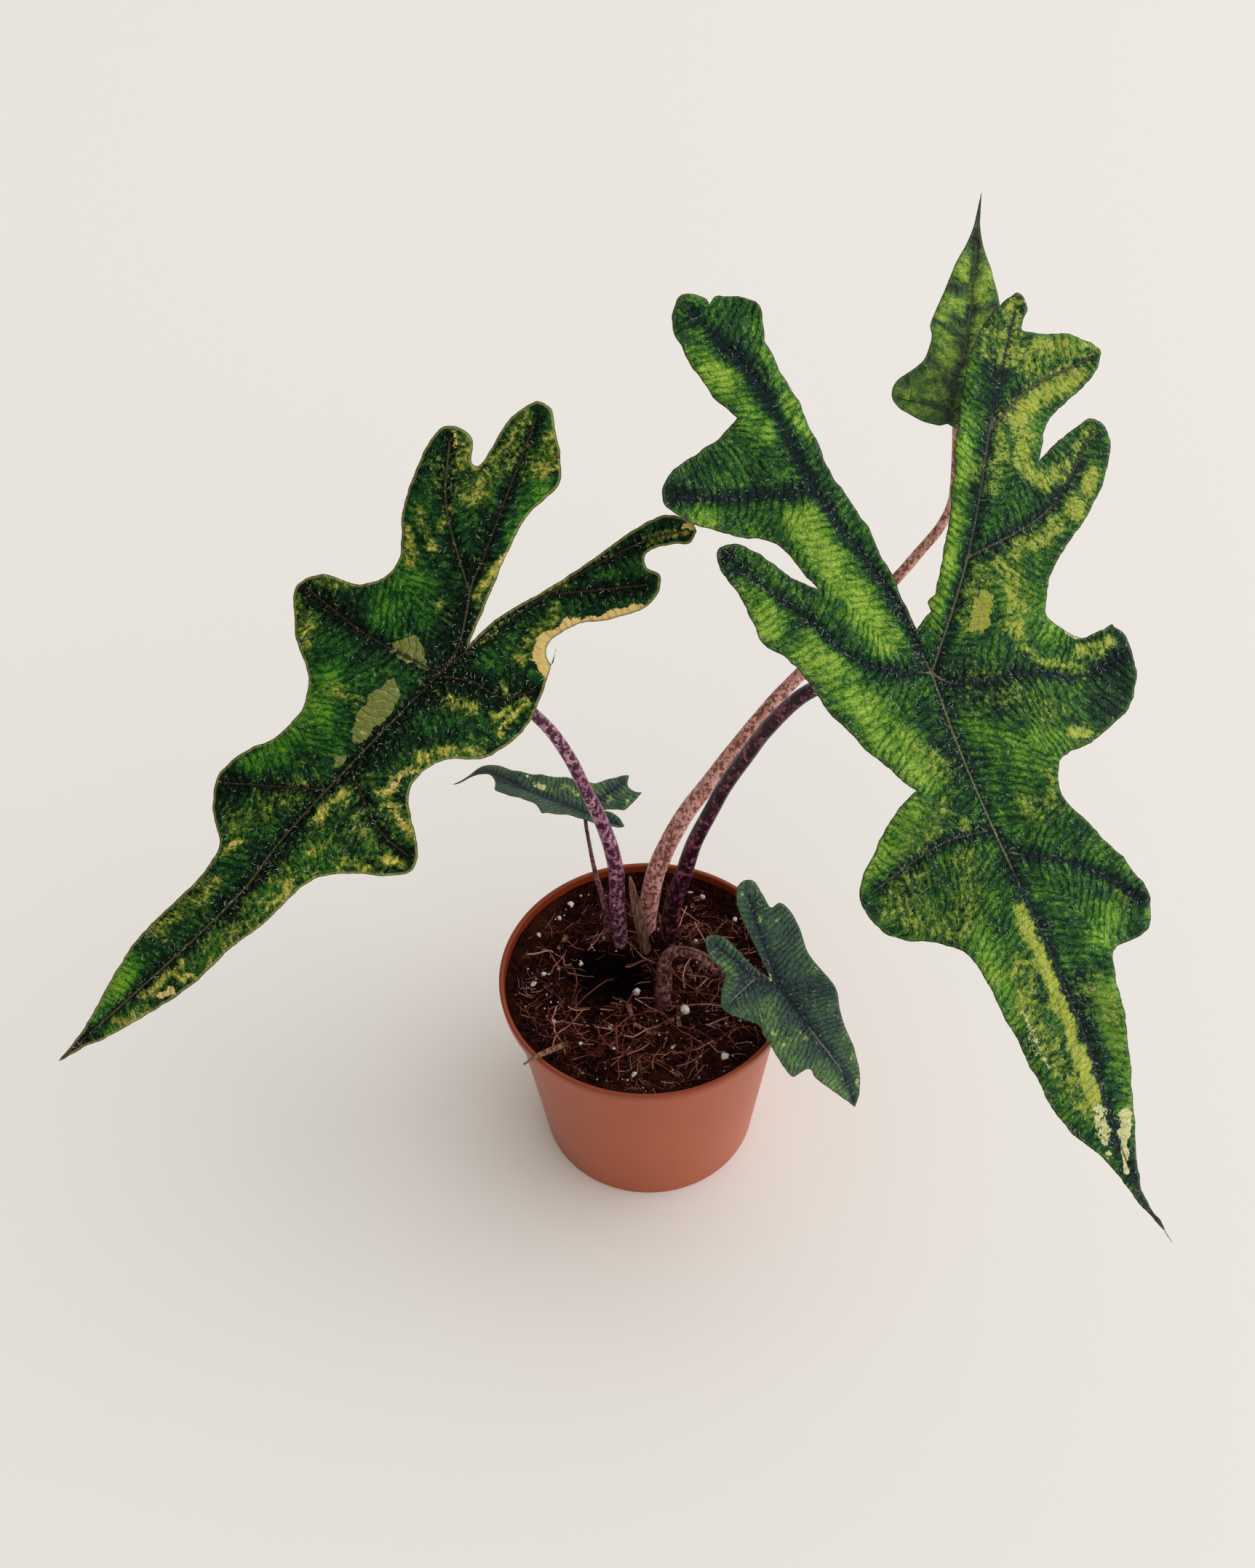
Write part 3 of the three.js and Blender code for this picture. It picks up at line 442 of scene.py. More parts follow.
def fibre_grain(tree):
    """A fibre of length 1 with a triangular section."""
    line = add_node(tree, "GeometryNodeMeshLine", {
        "Count": FIBRE_JOINTS + 1, "Start Location": (-0.5, 0, 0), "Offset": (1 / FIBRE_JOINTS, 0, 0),
    })
    path = add_node(tree, "GeometryNodeMeshToCurve", {0: line.outputs[0]})
    ring = add_node(tree, "GeometryNodeCurvePrimitiveCircle", {"Resolution": 3, "Radius": FIBRE_SLIMNESS})
    tube = add_node(tree, "GeometryNodeCurveToMesh", {
        "Curve": path.outputs[0], "Profile Curve": ring.outputs[0], "Fill Caps": True,
    })
    return tube.outputs[0]


def crumb_grain(tree):
    """A flattened ball of width 1."""
    ball = add_node(tree, "GeometryNodeMeshIcoSphere", {"Radius": 0.5, "Subdivisions": 2})
    flat = add_node(tree, "GeometryNodeTransform", {"Geometry": ball.outputs[0], "Scale": (1, 0.8, 0.7)})
    return flat.outputs[0]


def chip_grain(tree):
    """A flat split chip of length 1."""
    block = add_node(tree, "GeometryNodeMeshCube", {
        "Size": (1, 0.2, 0.08), "Vertices X": 6, "Vertices Y": 3, "Vertices Z": 2,
    })
    return block.outputs[0]


def centripetal(points, step):
    """Even steps along a centripetal curve through the points; two points give a straight line."""
    points = np.array(points, float)
    if len(points) == 2:
        dense = points
    else:
        ends = np.vstack([2 * points[0] - points[1], points, 2 * points[-1] - points[-2]])
        pieces = []
        for p0, p1, p2, p3 in zip(ends, ends[1:], ends[2:], ends[3:]):
            gap0, gap1, gap2 = (max(np.linalg.norm(b - a) ** 0.5, 1e-6)
                                for a, b in ((p0, p1), (p1, p2), (p2, p3)))
            leave = ((p1 - p0) / gap0 - (p2 - p0) / (gap0 + gap1) + (p2 - p1) / gap1) * gap1
            arrive = ((p2 - p1) / gap1 - (p3 - p1) / (gap1 + gap2) + (p3 - p2) / gap2) * gap1
            t = np.linspace(0, 1, 40, endpoint=False)[:, None]
            pieces.append(p1 + leave * t + (3 * (p2 - p1) - 2 * leave - arrive) * t ** 2
                          + (2 * (p1 - p2) + leave + arrive) * t ** 3)
        dense = np.vstack(pieces + [points[-1:]])
    lengths = np.concatenate([[0], np.cumsum(np.linalg.norm(np.diff(dense, axis=0), axis=1))])
    count = max(1, round(lengths[-1] / step))
    along = np.linspace(0, lengths[-1], count + 1)
    return np.stack([np.interp(along, lengths, dense[:, axis]) for axis in range(dense.shape[1])], 1)


def rod(path, radii, sides, step, flatness=1, roughness=0.03):
    """A closed rod along a path: its radii spread evenly, its section flattened to a share of its width."""
    centres = centripetal(path, step)
    sizes = np.interp(np.linspace(0, 1, len(centres)), np.linspace(0, 1, len(radii)), radii)
    tangents = np.gradient(centres, axis=0)
    tangents /= np.linalg.norm(tangents, axis=1)[:, None]
    normal = np.cross(tangents[0], (0, 1, 0))
    rings = []
    for centre, tangent, size in zip(centres, tangents, sizes):
        normal = normal - tangent * normal.dot(tangent)
        normal /= np.linalg.norm(normal)
        side_way = np.cross(tangent, normal)
        ring = []
        for across, deep, level in circle(1, 0, sides):
            out = flatness * across * normal + deep * side_way
            swell = 1 + roughness * noise.noise(Vector(centre) * 0.09 + Vector(out) * 0.6)
            ring.append(centre + size * swell * out)
        rings.append(ring)
    foot = centres[0] - tangents[0] * sizes[0] * ROD_CAP
    head = centres[-1] + tangents[-1] * sizes[-1] * ROD_CAP
    return ringed(foot, rings, head)


# Coir: tan to red-brown husk fibres, slightly glossy, darker where they are wet.
coir, tree, shader = new_surface("coir fibre", Roughness=0.5, Specular_IOR_Level=0.15)
tint = add_node(tree, "ShaderNodeAttribute", attribute_name="tint").outputs["Fac"]
ramp = add_node(tree, "ShaderNodeValToRGB", {0: tint})
for stop, tone in zip(ramp.color_ramp.elements, ("#1f0906", "#cc9a82")):
    stop.color = colour(tone)
for at, tone in ((0.5, "#4f1b11"), (0.82, "#874537")):
    ramp.color_ramp.elements.new(at).color = colour(tone)
tree.links.new(ramp.outputs[0], shader.inputs["Base Color"])

# Perlite: popped volcanic glass, bright white with a chalky broken surface.
perlite, tree, shader = new_surface("perlite", Roughness=0.8)
place = add_node(tree, "ShaderNodeTexCoord").outputs["Object"]
pores = add_node(tree, "ShaderNodeTexNoise", {"Vector": place, "Scale": METRE / 0.6, "Detail": 3}).outputs[0]
finish_surface(tree, shader, layered(tree, "#cdbfb8", [(pores, "#fffaf8")]), pores, 0.4)

# Bark: split pine bark, matt brown with a stringy grain.
bark, tree, shader = new_surface("pine bark", Roughness=0.75, Specular_IOR_Level=0.3)
place = add_node(tree, "ShaderNodeTexCoord").outputs["Object"]
grain = add_node(tree, "ShaderNodeTexNoise", {"Vector": place, "Scale": METRE / 1.5, "Detail": 5}).outputs[0]
shade = add_node(tree, "ShaderNodeMapRange", {0: grain, 1: 0.35, 2: 0.7}).outputs[0]
finish_surface(tree, shader, layered(tree, "#38190f", [(shade, "#9c6a50")]), grain, 0.5)

strewn("long_coir_fibres", coir, fibre_grain, {
    "Density": 52000, "In the hollow": 500, "Reach": 0.043, "Seed": 3, "Smallest": 0.011,
    "Largest": 0.027, "Lift": 0.0012, "Bends": 55, "Bend depth": 0.014,
})
strewn("short_coir_fibres", coir, fibre_grain, {
    "Density": 190000, "In the hollow": 1500, "Reach": 0.0525, "Seed": 4, "Smallest": 0.004,
    "Largest": 0.012, "Lift": 0.0006, "Bends": 110, "Bend depth": 0.007,
})
strewn("fine_coir_fibres", coir, fibre_grain, {
    "Density": 110000, "In the hollow": 500, "Reach": 0.0545, "Seed": 21, "Smallest": 0.003,
    "Largest": 0.006, "Lift": 0.0006, "Bends": 200, "Bend depth": 0.003,
})
strewn("peat_crumbs", peat, crumb_grain, {
    "Density": 150000, "In the hollow": 90000, "Reach": 0.055, "Seed": 8, "Smallest": 0.0008,
    "Largest": 0.0046, "Lift": 0.0002, "Bends": 500, "Bend depth": 0.0022,
})
strewn("bark_chips", bark, chip_grain, {
    "Density": 3600, "In the hollow": 0, "Reach": 0.045, "Seed": 5, "Smallest": 0.004,
    "Largest": 0.011, "Lift": 0.0008, "Bends": 220, "Bend depth": 0.003,
})
strewn("perlite_dust", perlite, crumb_grain, {
    "Density": 21000, "In the hollow": 4000, "Reach": 0.054, "Seed": 12, "Smallest": 0.0004,
    "Largest": 0.0012, "Lift": 0.0005, "Bends": 1500, "Bend depth": 0.0006,
})

grains = bmesh.new()
for x, y, radius in PERLITE_GRAINS:
    ball = bmesh.ops.create_icosphere(grains, subdivisions=3, radius=radius)
    centre = Vector((x, y, soil_height(x, y) + 0.45 * radius))
    for vertex in ball["verts"]:
        broken = 1 + 0.35 * noise.noise(vertex.co * 0.9 + centre)
        vertex.co = centre + vertex.co * broken
for vertex in grains.verts:
    vertex.co *= MM
grain_mesh = bpy.data.meshes.new("perlite_grains")
grains.to_mesh(grain_mesh)
grains.free()
grain_mesh.materials.append(perlite)
grain_piece = bpy.data.objects.new("perlite_grains", grain_mesh)
bpy.context.scene.collection.objects.link(grain_piece)
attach(grain_piece, "root")

points, faces = rod(LONG_CHIP, LONG_CHIP_HALF_WIDTHS, 12, 0.7, flatness=0.5, roughness=0.4)
chip = mesh_piece("long_bark_chip", points, faces, [bark])
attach(chip, "root")

# Sheath
# The dry, papery sheath of a new shoot that stands among the stems: a pointed blade curled into a
# gutter that is open to the back, olive-brown with long fibres.

SHEATH_FOOT = np.array((0.9, 22, 76))
SHEATH_TIP = np.array((-5.5, 22, 129))
SHEATH_HALF_WIDTH = 2.4
SHEATH_THICKNESS = 0.5
SHEATH_ROWS = 60
SHEATH_COLUMNS = 18
SHEATH_TURN = 1.25
SHEATH_NARROWING = 0.3

# Dry sheath: papery dead leaf, matt, streaked along its fibres.
papery, tree, shader = new_surface("dry sheath", Roughness=0.6, Specular_IOR_Level=0.35)
place = add_node(tree, "ShaderNodeTexCoord").outputs["Object"]
strands = add_node(tree, "ShaderNodeMapping", {"Vector": place, "Scale": (1, 1, 0.12)}).outputs[0]
strands = add_node(tree, "ShaderNodeTexNoise", {
    "Vector": strands, "Scale": METRE / 0.8, "Detail": 4,
}).outputs[0]
streak = add_node(tree, "ShaderNodeMapRange", {0: strands, 1: 0.35, 2: 0.7}).outputs[0]
finish_surface(tree, shader, layered(tree, "#4a2a1e", [(streak, "#a47a68")]), strands, 0.3, 0.7)

walls = []
for way in (1, -1):
    for row in range(SHEATH_ROWS + 1):
        along = row / SHEATH_ROWS
        half = SHEATH_HALF_WIDTH * math.sqrt(max(0.012, 1 - along ** 3))
        centre = SHEATH_FOOT + (SHEATH_TIP - SHEATH_FOOT) * along
        for column in range(SHEATH_COLUMNS + 1):
            turn = (column / SHEATH_COLUMNS * 2 - 1) * (SHEATH_TURN - SHEATH_NARROWING * along)
            ripple = 0.12 * noise.noise(Vector((turn * 3, along * 9, 0)))
            reach = max(0.12, half + ripple + way * SHEATH_THICKNESS / 2)
            walls.append(centre + reach * np.array((math.sin(turn), -math.cos(turn), 0)))
width = SHEATH_COLUMNS + 1
inner = (SHEATH_ROWS + 1) * width
sheath_faces = []
for row in range(SHEATH_ROWS):
    left = row * width
    right = left + SHEATH_COLUMNS
    for a in range(left, right):
        sheath_faces.append((a, a + 1, a + 1 + width, a + width))
        sheath_faces.append((inner + a, inner + a + width, inner + a + 1 + width, inner + a + 1))
    sheath_faces.append((left, left + width, inner + left + width, inner + left))
    sheath_faces.append((right, inner + right, inner + right + width, right + width))
for column in range(SHEATH_COLUMNS):
    top = SHEATH_ROWS * width + column
    sheath_faces.append((column + 1, column, inner + column, inner + column + 1))
    sheath_faces.append((top, top + 1, inner + top + 1, inner + top))
sheath = mesh_piece("dry_sheath", walls, sheath_faces, [papery])
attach(sheath, "root")
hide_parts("sheath")

# Leaf blades
# Living leaves, thin and quilted between their veins, with hairs on the upper face. Each was grown flat
# and then bent: x runs from the stalk to the tip, y across, and the height over that plane is the form.

RIB_DEPTH = 1.3
RIB_HALF_WIDTH = 1.4
GROOVE_HALF_WIDTH = 0.8
FOLD_HALF_WIDTH = 2.4
FOLD_DEPTH = 0.8
BLADE_THICKNESS = 0.5
PUCKER_SIZE = 7
WAVE_REACH = 4
ROLL_WIDTH = 1.1
TEAR = (1.6, 6)
VEIN_SLANT = 0.25
VEIN_CURVE = 0.011
VEIN_WANDER = 2
CELL_SIZE = (1.2, 1.7)
RIB_MAP_WIDTH = 40
SLOPE_STEP = 0.05


def smoothstep(low, high, value):
    """0 below the low value and 1 above the high one, with a smooth way between."""
    t = np.clip((value - low) / (high - low), 0, 1)
    return t * t * (3 - 2 * t)


def along_line(points, line):
    """For each point, its distance from a line and the length along the line to the nearest place."""
    a = line[:-1]
    step = line[1:] - a
    lengths = np.linalg.norm(step, axis=1)
    start = np.concatenate([[0], np.cumsum(lengths)[:-1]])
    best = np.full(len(points), 1e9)
    where = np.zeros(len(points))
    for origin, way, length, before in zip(a, step, lengths, start):
        t = np.clip((points - origin) @ way / length ** 2, 0, 1)
        gap = np.hypot(*(points - origin - t[:, None] * way).T)
        nearer = gap < best
        best[nearer] = gap[nearer]
        where[nearer] = before + t[nearer] * length
    return best, where


def inside(points, outline):
    """Which of the points lie inside a closed outline."""
    found = np.zeros(len(points), bool)
    for a, b in zip(outline, np.roll(outline, 1, axis=0)):
        if a[1] == b[1]:
            continue
        crosses = (a[1] > points[:, 1]) != (b[1] > points[:, 1])
        found ^= crosses & (points[:, 0] < (b[0] - a[0]) * (points[:, 1] - a[1]) / (b[1] - a[1]) + a[0])
    return found


def strokes_over(points, strokes):
    """How strongly brush strokes cover each point; a stroke is (line, half width, strength)."""
    cover = np.zeros(len(points))
    for line, half_width, strength in strokes:
        line = np.array(line, float)
        gap = np.hypot(*(points - line[0]).T) if len(line) == 1 else along_line(points, line)[0]
        cover = np.maximum(cover, strength * (1 - smoothstep(0.2, 1.7, gap / half_width)))
    return cover


def patches_over(points, patches):
    """1 well inside any of the outlines, 0 well outside and 0.5 on the line."""
    cover = np.zeros(len(points))
    for patch in patches:
        outline = np.array(patch, float)
        gap = along_line(points, np.vstack([outline, outline[:1]]))[0]
        gap[~inside(points, outline)] *= -1
        cover = np.maximum(cover, smoothstep(-1.2, 1.2, gap))
    return cover


def ragged(points, amount, size):
    """The points, moved about by a wandering amount, so that what is drawn over them has a torn edge."""
    moved = points.copy()
    for axis, layer in ((0, 1.5), (1, 7.5)):
        moved[:, axis] += amount * np.array([
            noise.fractal(Vector((x / size, y / size, layer)), 0.8, 2, 3) for x, y in points
        ])
    return moved


def blade_frame(leaf):
    """Where the blade's plane lies: its origin, its ways along, across and out of the face, its length."""
    origin = np.array(leaf["junction"], float)
    length_way = np.array(leaf["tip"], float) - origin
    length = np.linalg.norm(length_way)
    length_way /= length
    face = np.array(leaf["face"], float)
    face -= length_way * face.dot(length_way)
    face /= np.linalg.norm(face)
    return origin, length_way, np.cross(face, length_way), face, length


def blade_form(leaf, length, x, y):
    """The blade's height over its flat plane, the same form as the solid's."""
    s = x / length
    behind = np.minimum(s, 0)
    arch = np.where(s >= 0, 4 * leaf["arch"] * s * (1 - s),
                    4 * leaf["arch"] * s / (1 - behind / leaf["back_bend"]))
    side = np.abs(y)
    channel = leaf["channel_slope"] * side / (1 + side / leaf["channel_width"])
    form = arch + channel - leaf["droop"] * side ** 2
    for at_x, at_y, reach, rise in leaf["swells"]:
        form = form + rise * np.exp(-((x - at_x) ** 2 + (y - at_y) ** 2) / reach ** 2)
    return form


def blade_outline(leaf):
    """The leaf's outline in fine steps, with the slight unevenness of a grown edge."""
    outline = np.vstack([centripetal(stretch, leaf["spacing"])[:-1] for stretch in leaf["edge"]])
    nicks = np.array([
        noise.noise(Vector((x * 0.23, y * 0.23, 3))) + 0.5 * noise.noise(Vector((x * 0.6, y * 0.6, 7)))
        for x, y in outline
    ])
    way = np.roll(outline, -1, axis=0) - np.roll(outline, 1, axis=0)
    outward = np.stack([way[:, 1], -way[:, 0]], 1)
    outward /= np.maximum(np.linalg.norm(outward, axis=1), 1e-6)[:, None]
    return outline + outward * (leaf["nick"] * nicks)[:, None]


def blade_triangles(leaf, outline, ribs):
    """Flat points and triangles that fill the outline, with a row of points along each rib."""
    spacing = leaf["spacing"]
    border = np.vstack([outline, outline[:1]])
    low = outline.min(0)
    high = outline.max(0)
    rows = np.arange(low[0], high[0], spacing * math.sqrt(3) / 2)
    columns = np.arange(low[1], high[1], spacing)
    grid = np.array([(x, y + (row % 2) * spacing / 2) for row, x in enumerate(rows) for y in columns])
    grid = grid[inside(grid, outline)]
    grid = grid[along_line(grid, border)[0] > spacing * 0.55]
    for rib in ribs:
        grid = grid[along_line(grid, rib)[0] > spacing * 0.5]
    on_ribs = np.vstack([rib[1:] for rib in ribs] + [[(0, 0)]])
    on_ribs = on_ribs[inside(on_ribs, outline)]
    on_ribs = on_ribs[along_line(on_ribs, border)[0] > spacing * 0.5]
    flat = np.vstack([outline, on_ribs, grid])
    made = delaunay_2d_cdt([Vector(p) for p in flat], [], [list(range(len(outline)))], 1, 1e-4, False)
    flat = np.array([tuple(p) for p in made[0]])
    triangles = np.array(made[2])
    a, b, c = (flat[triangles[:, corner]] for corner in range(3))
    area = (b[:, 0] - a[:, 0]) * (c[:, 1] - a[:, 1]) - (b[:, 1] - a[:, 1]) * (c[:, 0] - a[:, 0])
    triangles[area < 0] = triangles[area < 0][:, ::-1]
    return flat, triangles[inside(flat[triangles].mean(1), outline)]


def blade_mesh(leaf):
    """The blade as a thin closed skin, with the coordinates that its materials read."""
    outline = blade_outline(leaf)
    border = np.vstack([outline, outline[:1]])
    ribs = [centripetal(rib, leaf["spacing"]) for rib in leaf["ribs"]]
    flat, triangles = blade_triangles(leaf, outline, ribs)
    gaps = np.zeros((len(ribs), len(flat)))
    lengths = np.zeros((len(ribs), len(flat)))
    for index, rib in enumerate(ribs):
        gaps[index], lengths[index] = along_line(flat, rib)
    nearest = gaps.argmin(0)
    rib_gap = gaps.min(0)
    margin, margin_length = along_line(flat, border)

    origin, length_way, across, face, length = blade_frame(leaf)
    x, y = flat.T
    taper = np.clip(1 - np.hypot(x, y) / (length * 1.1), 0, 1)
    size = leaf["rib_scale"]
    rib_shape = np.exp(-(rib_gap / RIB_HALF_WIDTH) ** 2) * (0.3 + 0.7 * taper) * size
    groove = np.exp(-(rib_gap / GROOVE_HALF_WIDTH) ** 2) * (0.15 + 0.3 * taper) * size
    fold = FOLD_DEPTH * size * (0.3 + 0.7 * taper) * np.exp(-(rib_gap / FOLD_HALF_WIDTH) ** 2)
    pucker = np.array([
        noise.fractal(Vector((px / PUCKER_SIZE, py / PUCKER_SIZE, 4)), 0.9, 2, 2) for px, py in flat
    ]) * leaf["pucker"] * smoothstep(0.5, 4, rib_gap)
    waves = np.sin(margin_length * 2 * math.pi / leaf["wave_length"] + 1.3 * np.sin(margin_length / 31))
    waves = leaf["wave"] * waves * np.exp(-margin / WAVE_REACH)
    rolled = -leaf["roll"] * np.exp(-margin / ROLL_WIDTH)
    plain = blade_form(leaf, length, x, y)
    form = plain - fold + pucker + waves + rolled
    slope_x = (blade_form(leaf, length, x + SLOPE_STEP, y) - plain) / SLOPE_STEP
    slope_y = (blade_form(leaf, length, x, y + SLOPE_STEP) - plain) / SLOPE_STEP
    normals = face - slope_x[:, None] * length_way - slope_y[:, None] * across
    normals /= np.linalg.norm(normals, axis=1)[:, None]
    middle = origin + x[:, None] * length_way + y[:, None] * across + form[:, None] * face
    half = BLADE_THICKNESS / 2 * (0.45 + 0.55 * smoothstep(0, 2, margin))
    top = middle + normals * (half - groove)[:, None]
    bottom = middle - normals * (half + RIB_DEPTH * rib_shape)[:, None]

    count = len(flat)
    edges = {}
    for triangle in triangles:
        for start, end in zip(triangle, np.roll(triangle, -1)):
            if (end, start) in edges:
                del edges[end, start]
            else:
                edges[start, end] = True
    sides = [(start, start + count, end + count, end) for start, end in edges]
    faces = [tuple(t) for t in triangles] + [tuple(t[::-1] + count) for t in triangles] + sides
    piece = mesh_piece(leaf["name"] + "_lamina", np.vstack([top, bottom]), faces, leaf["surfaces"])
    mesh = piece.data
    mesh.polygons.foreach_set(
        "material_index", [0] * len(triangles) + [1] * len(triangles) + [0] * len(sides)
    )
    torn = ragged(flat, *TEAR)
    hairy = 0.4 + 0.5 * np.exp(-(rib_gap / 4) ** 2) + 0.8 * np.exp(-(margin / 2.5) ** 2)
    hairy *= 1 + strokes_over(flat, leaf["shaggy"])
    # The bright strokes, stored here as an attribute, are partly lighter green tissue and partly painted
    # highlight where the blade is tilted to the light.
    for name, upper, lower in (
        ("rib", rib_gap, rib_gap), ("margin", margin, margin), ("hairy", hairy, 0 * hairy),
        *((key, strokes_over(torn, leaf[key]), strokes_over(torn, leaf[key]))
          for key in ("yellow", "cream", "bright", "dark", "dry")),
        ("pale_rib", strokes_over(flat, leaf["pale_ribs"]), 0 * hairy),
        ("patch", patches_over(torn, leaf["patches"]), 0 * hairy),
    ):
        attribute = mesh.attributes.new(name, "FLOAT", "POINT")
        attribute.data.foreach_set("value", np.concatenate([upper, lower]).astype(np.float32))

    loops = np.zeros(len(mesh.loops), int)
    mesh.loops.foreach_get("vertex_index", loops)
    loops %= count
    owner = np.repeat(np.arange(len(faces)), [len(f) for f in faces])
    face_rib = np.zeros(len(faces), int)
    face_rib[:2 * len(triangles)] = np.tile(gaps[:, triangles].mean(2).argmin(0), 2)
    face_rib[2 * len(triangles):] = nearest[[start for start, end in edges]]
    loop_rib = face_rib[owner]
    vein_map = np.stack([lengths[loop_rib, loops] + RIB_MAP_WIDTH * loop_rib, gaps[loop_rib, loops]], 1) * MM
    for name, places in (("blade", flat[loops] * MM), ("veins", vein_map)):
        layer = mesh.uv_layers.new(name=name)
        layer.uv.foreach_set("vector", places.astype(np.float32).ravel())
    return piece


def side_veins(tree, spacing):
    """The blade's flat place, the place along the rib where a side vein through here starts, the distance
    from the rib, and how far it is to the next side vein: 0 on it, 0.5 midway. Side veins leave each rib
    at a slant and curve towards its tip."""
    blade = add_node(tree, "ShaderNodeUVMap", uv_map="blade").outputs[0]
    vein_map = add_node(tree, "ShaderNodeUVMap", uv_map="veins").outputs[0]
    along, off_rib = add_node(tree, "ShaderNodeSeparateXYZ", {0: vein_map}).outputs[:2]
    curved = weighed(tree, VEIN_SLANT, [(off_rib, VEIN_CURVE / MM)])
    slant = add_node(tree, "ShaderNodeMath", {0: curved, 1: off_rib}, operation="MULTIPLY").outputs[0]
    start = weighed(tree, along, [(slant, -1)])
    wander = add_node(tree, "ShaderNodeTexNoise", {
        "Vector": blade, "Scale": METRE / 7, "Detail": 4,
    }).outputs[0]
    phase = weighed(tree, 0, [(start, METRE / spacing), (wander, VEIN_WANDER)])
    gap = add_node(tree, "ShaderNodeMath", {0: phase, 1: 0.5}, operation="PINGPONG").outputs[0]
    return blade, start, off_rib, gap


def leaf_upper(name, tones):
    """The hairy, satin upper face of a blade: quilted green, dark along the veins, flecked with yellow."""
    material, tree, shader = new_surface(name, Specular_IOR_Level=tones["gleam"])
    blade, start, off_rib, gap = side_veins(tree, tones["vein spacing"])
    rib, margin, yellow, cream, bright, dark, dry, pale_rib, patch = (
        add_node(tree, "ShaderNodeAttribute", attribute_name=label).outputs["Fac"]
        for label in ("rib", "margin", "yellow", "cream", "bright", "dark", "dry", "pale_rib", "patch")
    )

    # Clouds of green, blotches, flecks and grit; brush marks drawn out along the side veins. The grit
    # stands for the leaf's pores, drawn coarser than the real ones.
    brushed = add_node(tree, "ShaderNodeCombineXYZ", {
        index: weighed(tree, 0, [(value, METRE / size)])
        for index, (value, size) in enumerate(zip((start, off_rib), tones["brush"]))
    }).outputs[0]
    cloud, blotch, fleck, grit, brush = (
        add_node(tree, "ShaderNodeTexNoise", {
            "Vector": place, "Scale": scale, "Detail": detail, "Roughness": 0.6,
        }).outputs[0]
        for place, scale, detail in (
            (blade, METRE / 14, 2), (blade, METRE / 5, 3), (blade, METRE / 1.6, 2), (blade, METRE / 0.6, 2),
            (brushed, 1, 3),
        )
    )

    # The finest veins close small cells between the side veins; each cell has its own leaning to yellow
    cells = add_node(tree, "ShaderNodeCombineXYZ", {
        0: weighed(tree, 0, [(start, METRE / CELL_SIZE[0]), (fleck, 1.6)]),
        1: weighed(tree, 0, [(off_rib, METRE / CELL_SIZE[1]), (blotch, 1.6)]),
    }).outputs[0]
    cell, net = (
        add_node(tree, "ShaderNodeTexVoronoi", {"Vector": cells, "Scale": 1},
                 feature=feature).outputs[output]
        for feature, output in (("F1", "Color"), ("DISTANCE_TO_EDGE", "Distance"))
    )

    # Each span is a value, its low and high end, and what it gives at each
    spans = {
        "band": (weighed(tree, -3.5, [(rib, 1), (brush, 3.5), (blotch, 3.5)]),
                 tones["band"] * 0.2, tones["band"] * 1.3, 1, 0),
        "dome": (gap, 0, 0.36, 0, 1),
        "netted": (net, 0, 0.2, 1, 0),
        "shown": (weighed(tree, -0.5, [(blotch, 1), (brush, 1)]), 0.4, 0.64, 0.1, 1),
        "creamy": (weighed(tree, -0.75, [(cream, 1), (grit, 0.6), (fleck, 0.9)]), 0.4, 0.55, 0, 1),
        "patched": (weighed(tree, -0.9, [(patch, 1), (grit, 0.6), (fleck, 1.2)]), 0.4, 0.6, 0, 1),
        "dried": (dry, 0.3, 0.7, 0, 1),
        "navy": (weighed(tree, -1.2, [(rib, 1), (brush, 1.2), (fleck, 1.2)]), 0.2, tones["navy"], 0.8, 0),
        "cord": (rib, 0.15, 0.5, 0.8, 0),
        "pale cord": (rib, 0.15, 0.5, 1, 0),
        "outer edge": (margin, 0.2, 0.5, 0.5, 0),
        "pale edge": (weighed(tree, -0.3, [(margin, 1), (grit, 0.6)]), 0.5, 1.1, tones["edge share"], 0),
        "green edge": (weighed(tree, -1, [(margin, 1), (blotch, 2)]), 0.6, 2.8, 1, 0),
    }
    soft = {
        label: add_node(tree, "ShaderNodeMapRange", dict(enumerate(span)),
                        interpolation_type="SMOOTHSTEP").outputs[0]
        for label, span in spans.items()
    }
    flecked = weighed(tree, tones["flecks"] - 1.9, [
        (yellow, tones["masked"]), (brush, 0.5), (blotch, 1.2), (fleck, 1.1), (cell, 0.4), (grit, 0.6),
        (soft["band"], -0.12), (soft["green edge"], -tones["edged"]),
    ])
    spans = {
        "crease": (gap, 0.01, 0.085, soft["shown"], 0),
        "lime": (flecked, 0.08, 0.44, 0, 0.85),
        "yellow": (flecked, 0.4, 0.62, 0, 1),
        "light": (flecked, 0.6, 0.88, 0, 1),
    }
    crisp = {
        label: add_node(tree, "ShaderNodeMapRange", dict(enumerate(span)),
                        interpolation_type="SMOOTHSTEP").outputs[0]
        for label, span in spans.items()
    }
    pale = weighed(tree, 0, [(crisp["yellow"], 1), (soft["patched"], 1), (soft["creamy"], 1)])
    pale = add_node(tree, "ShaderNodeClamp", {0: pale}).outputs[0]
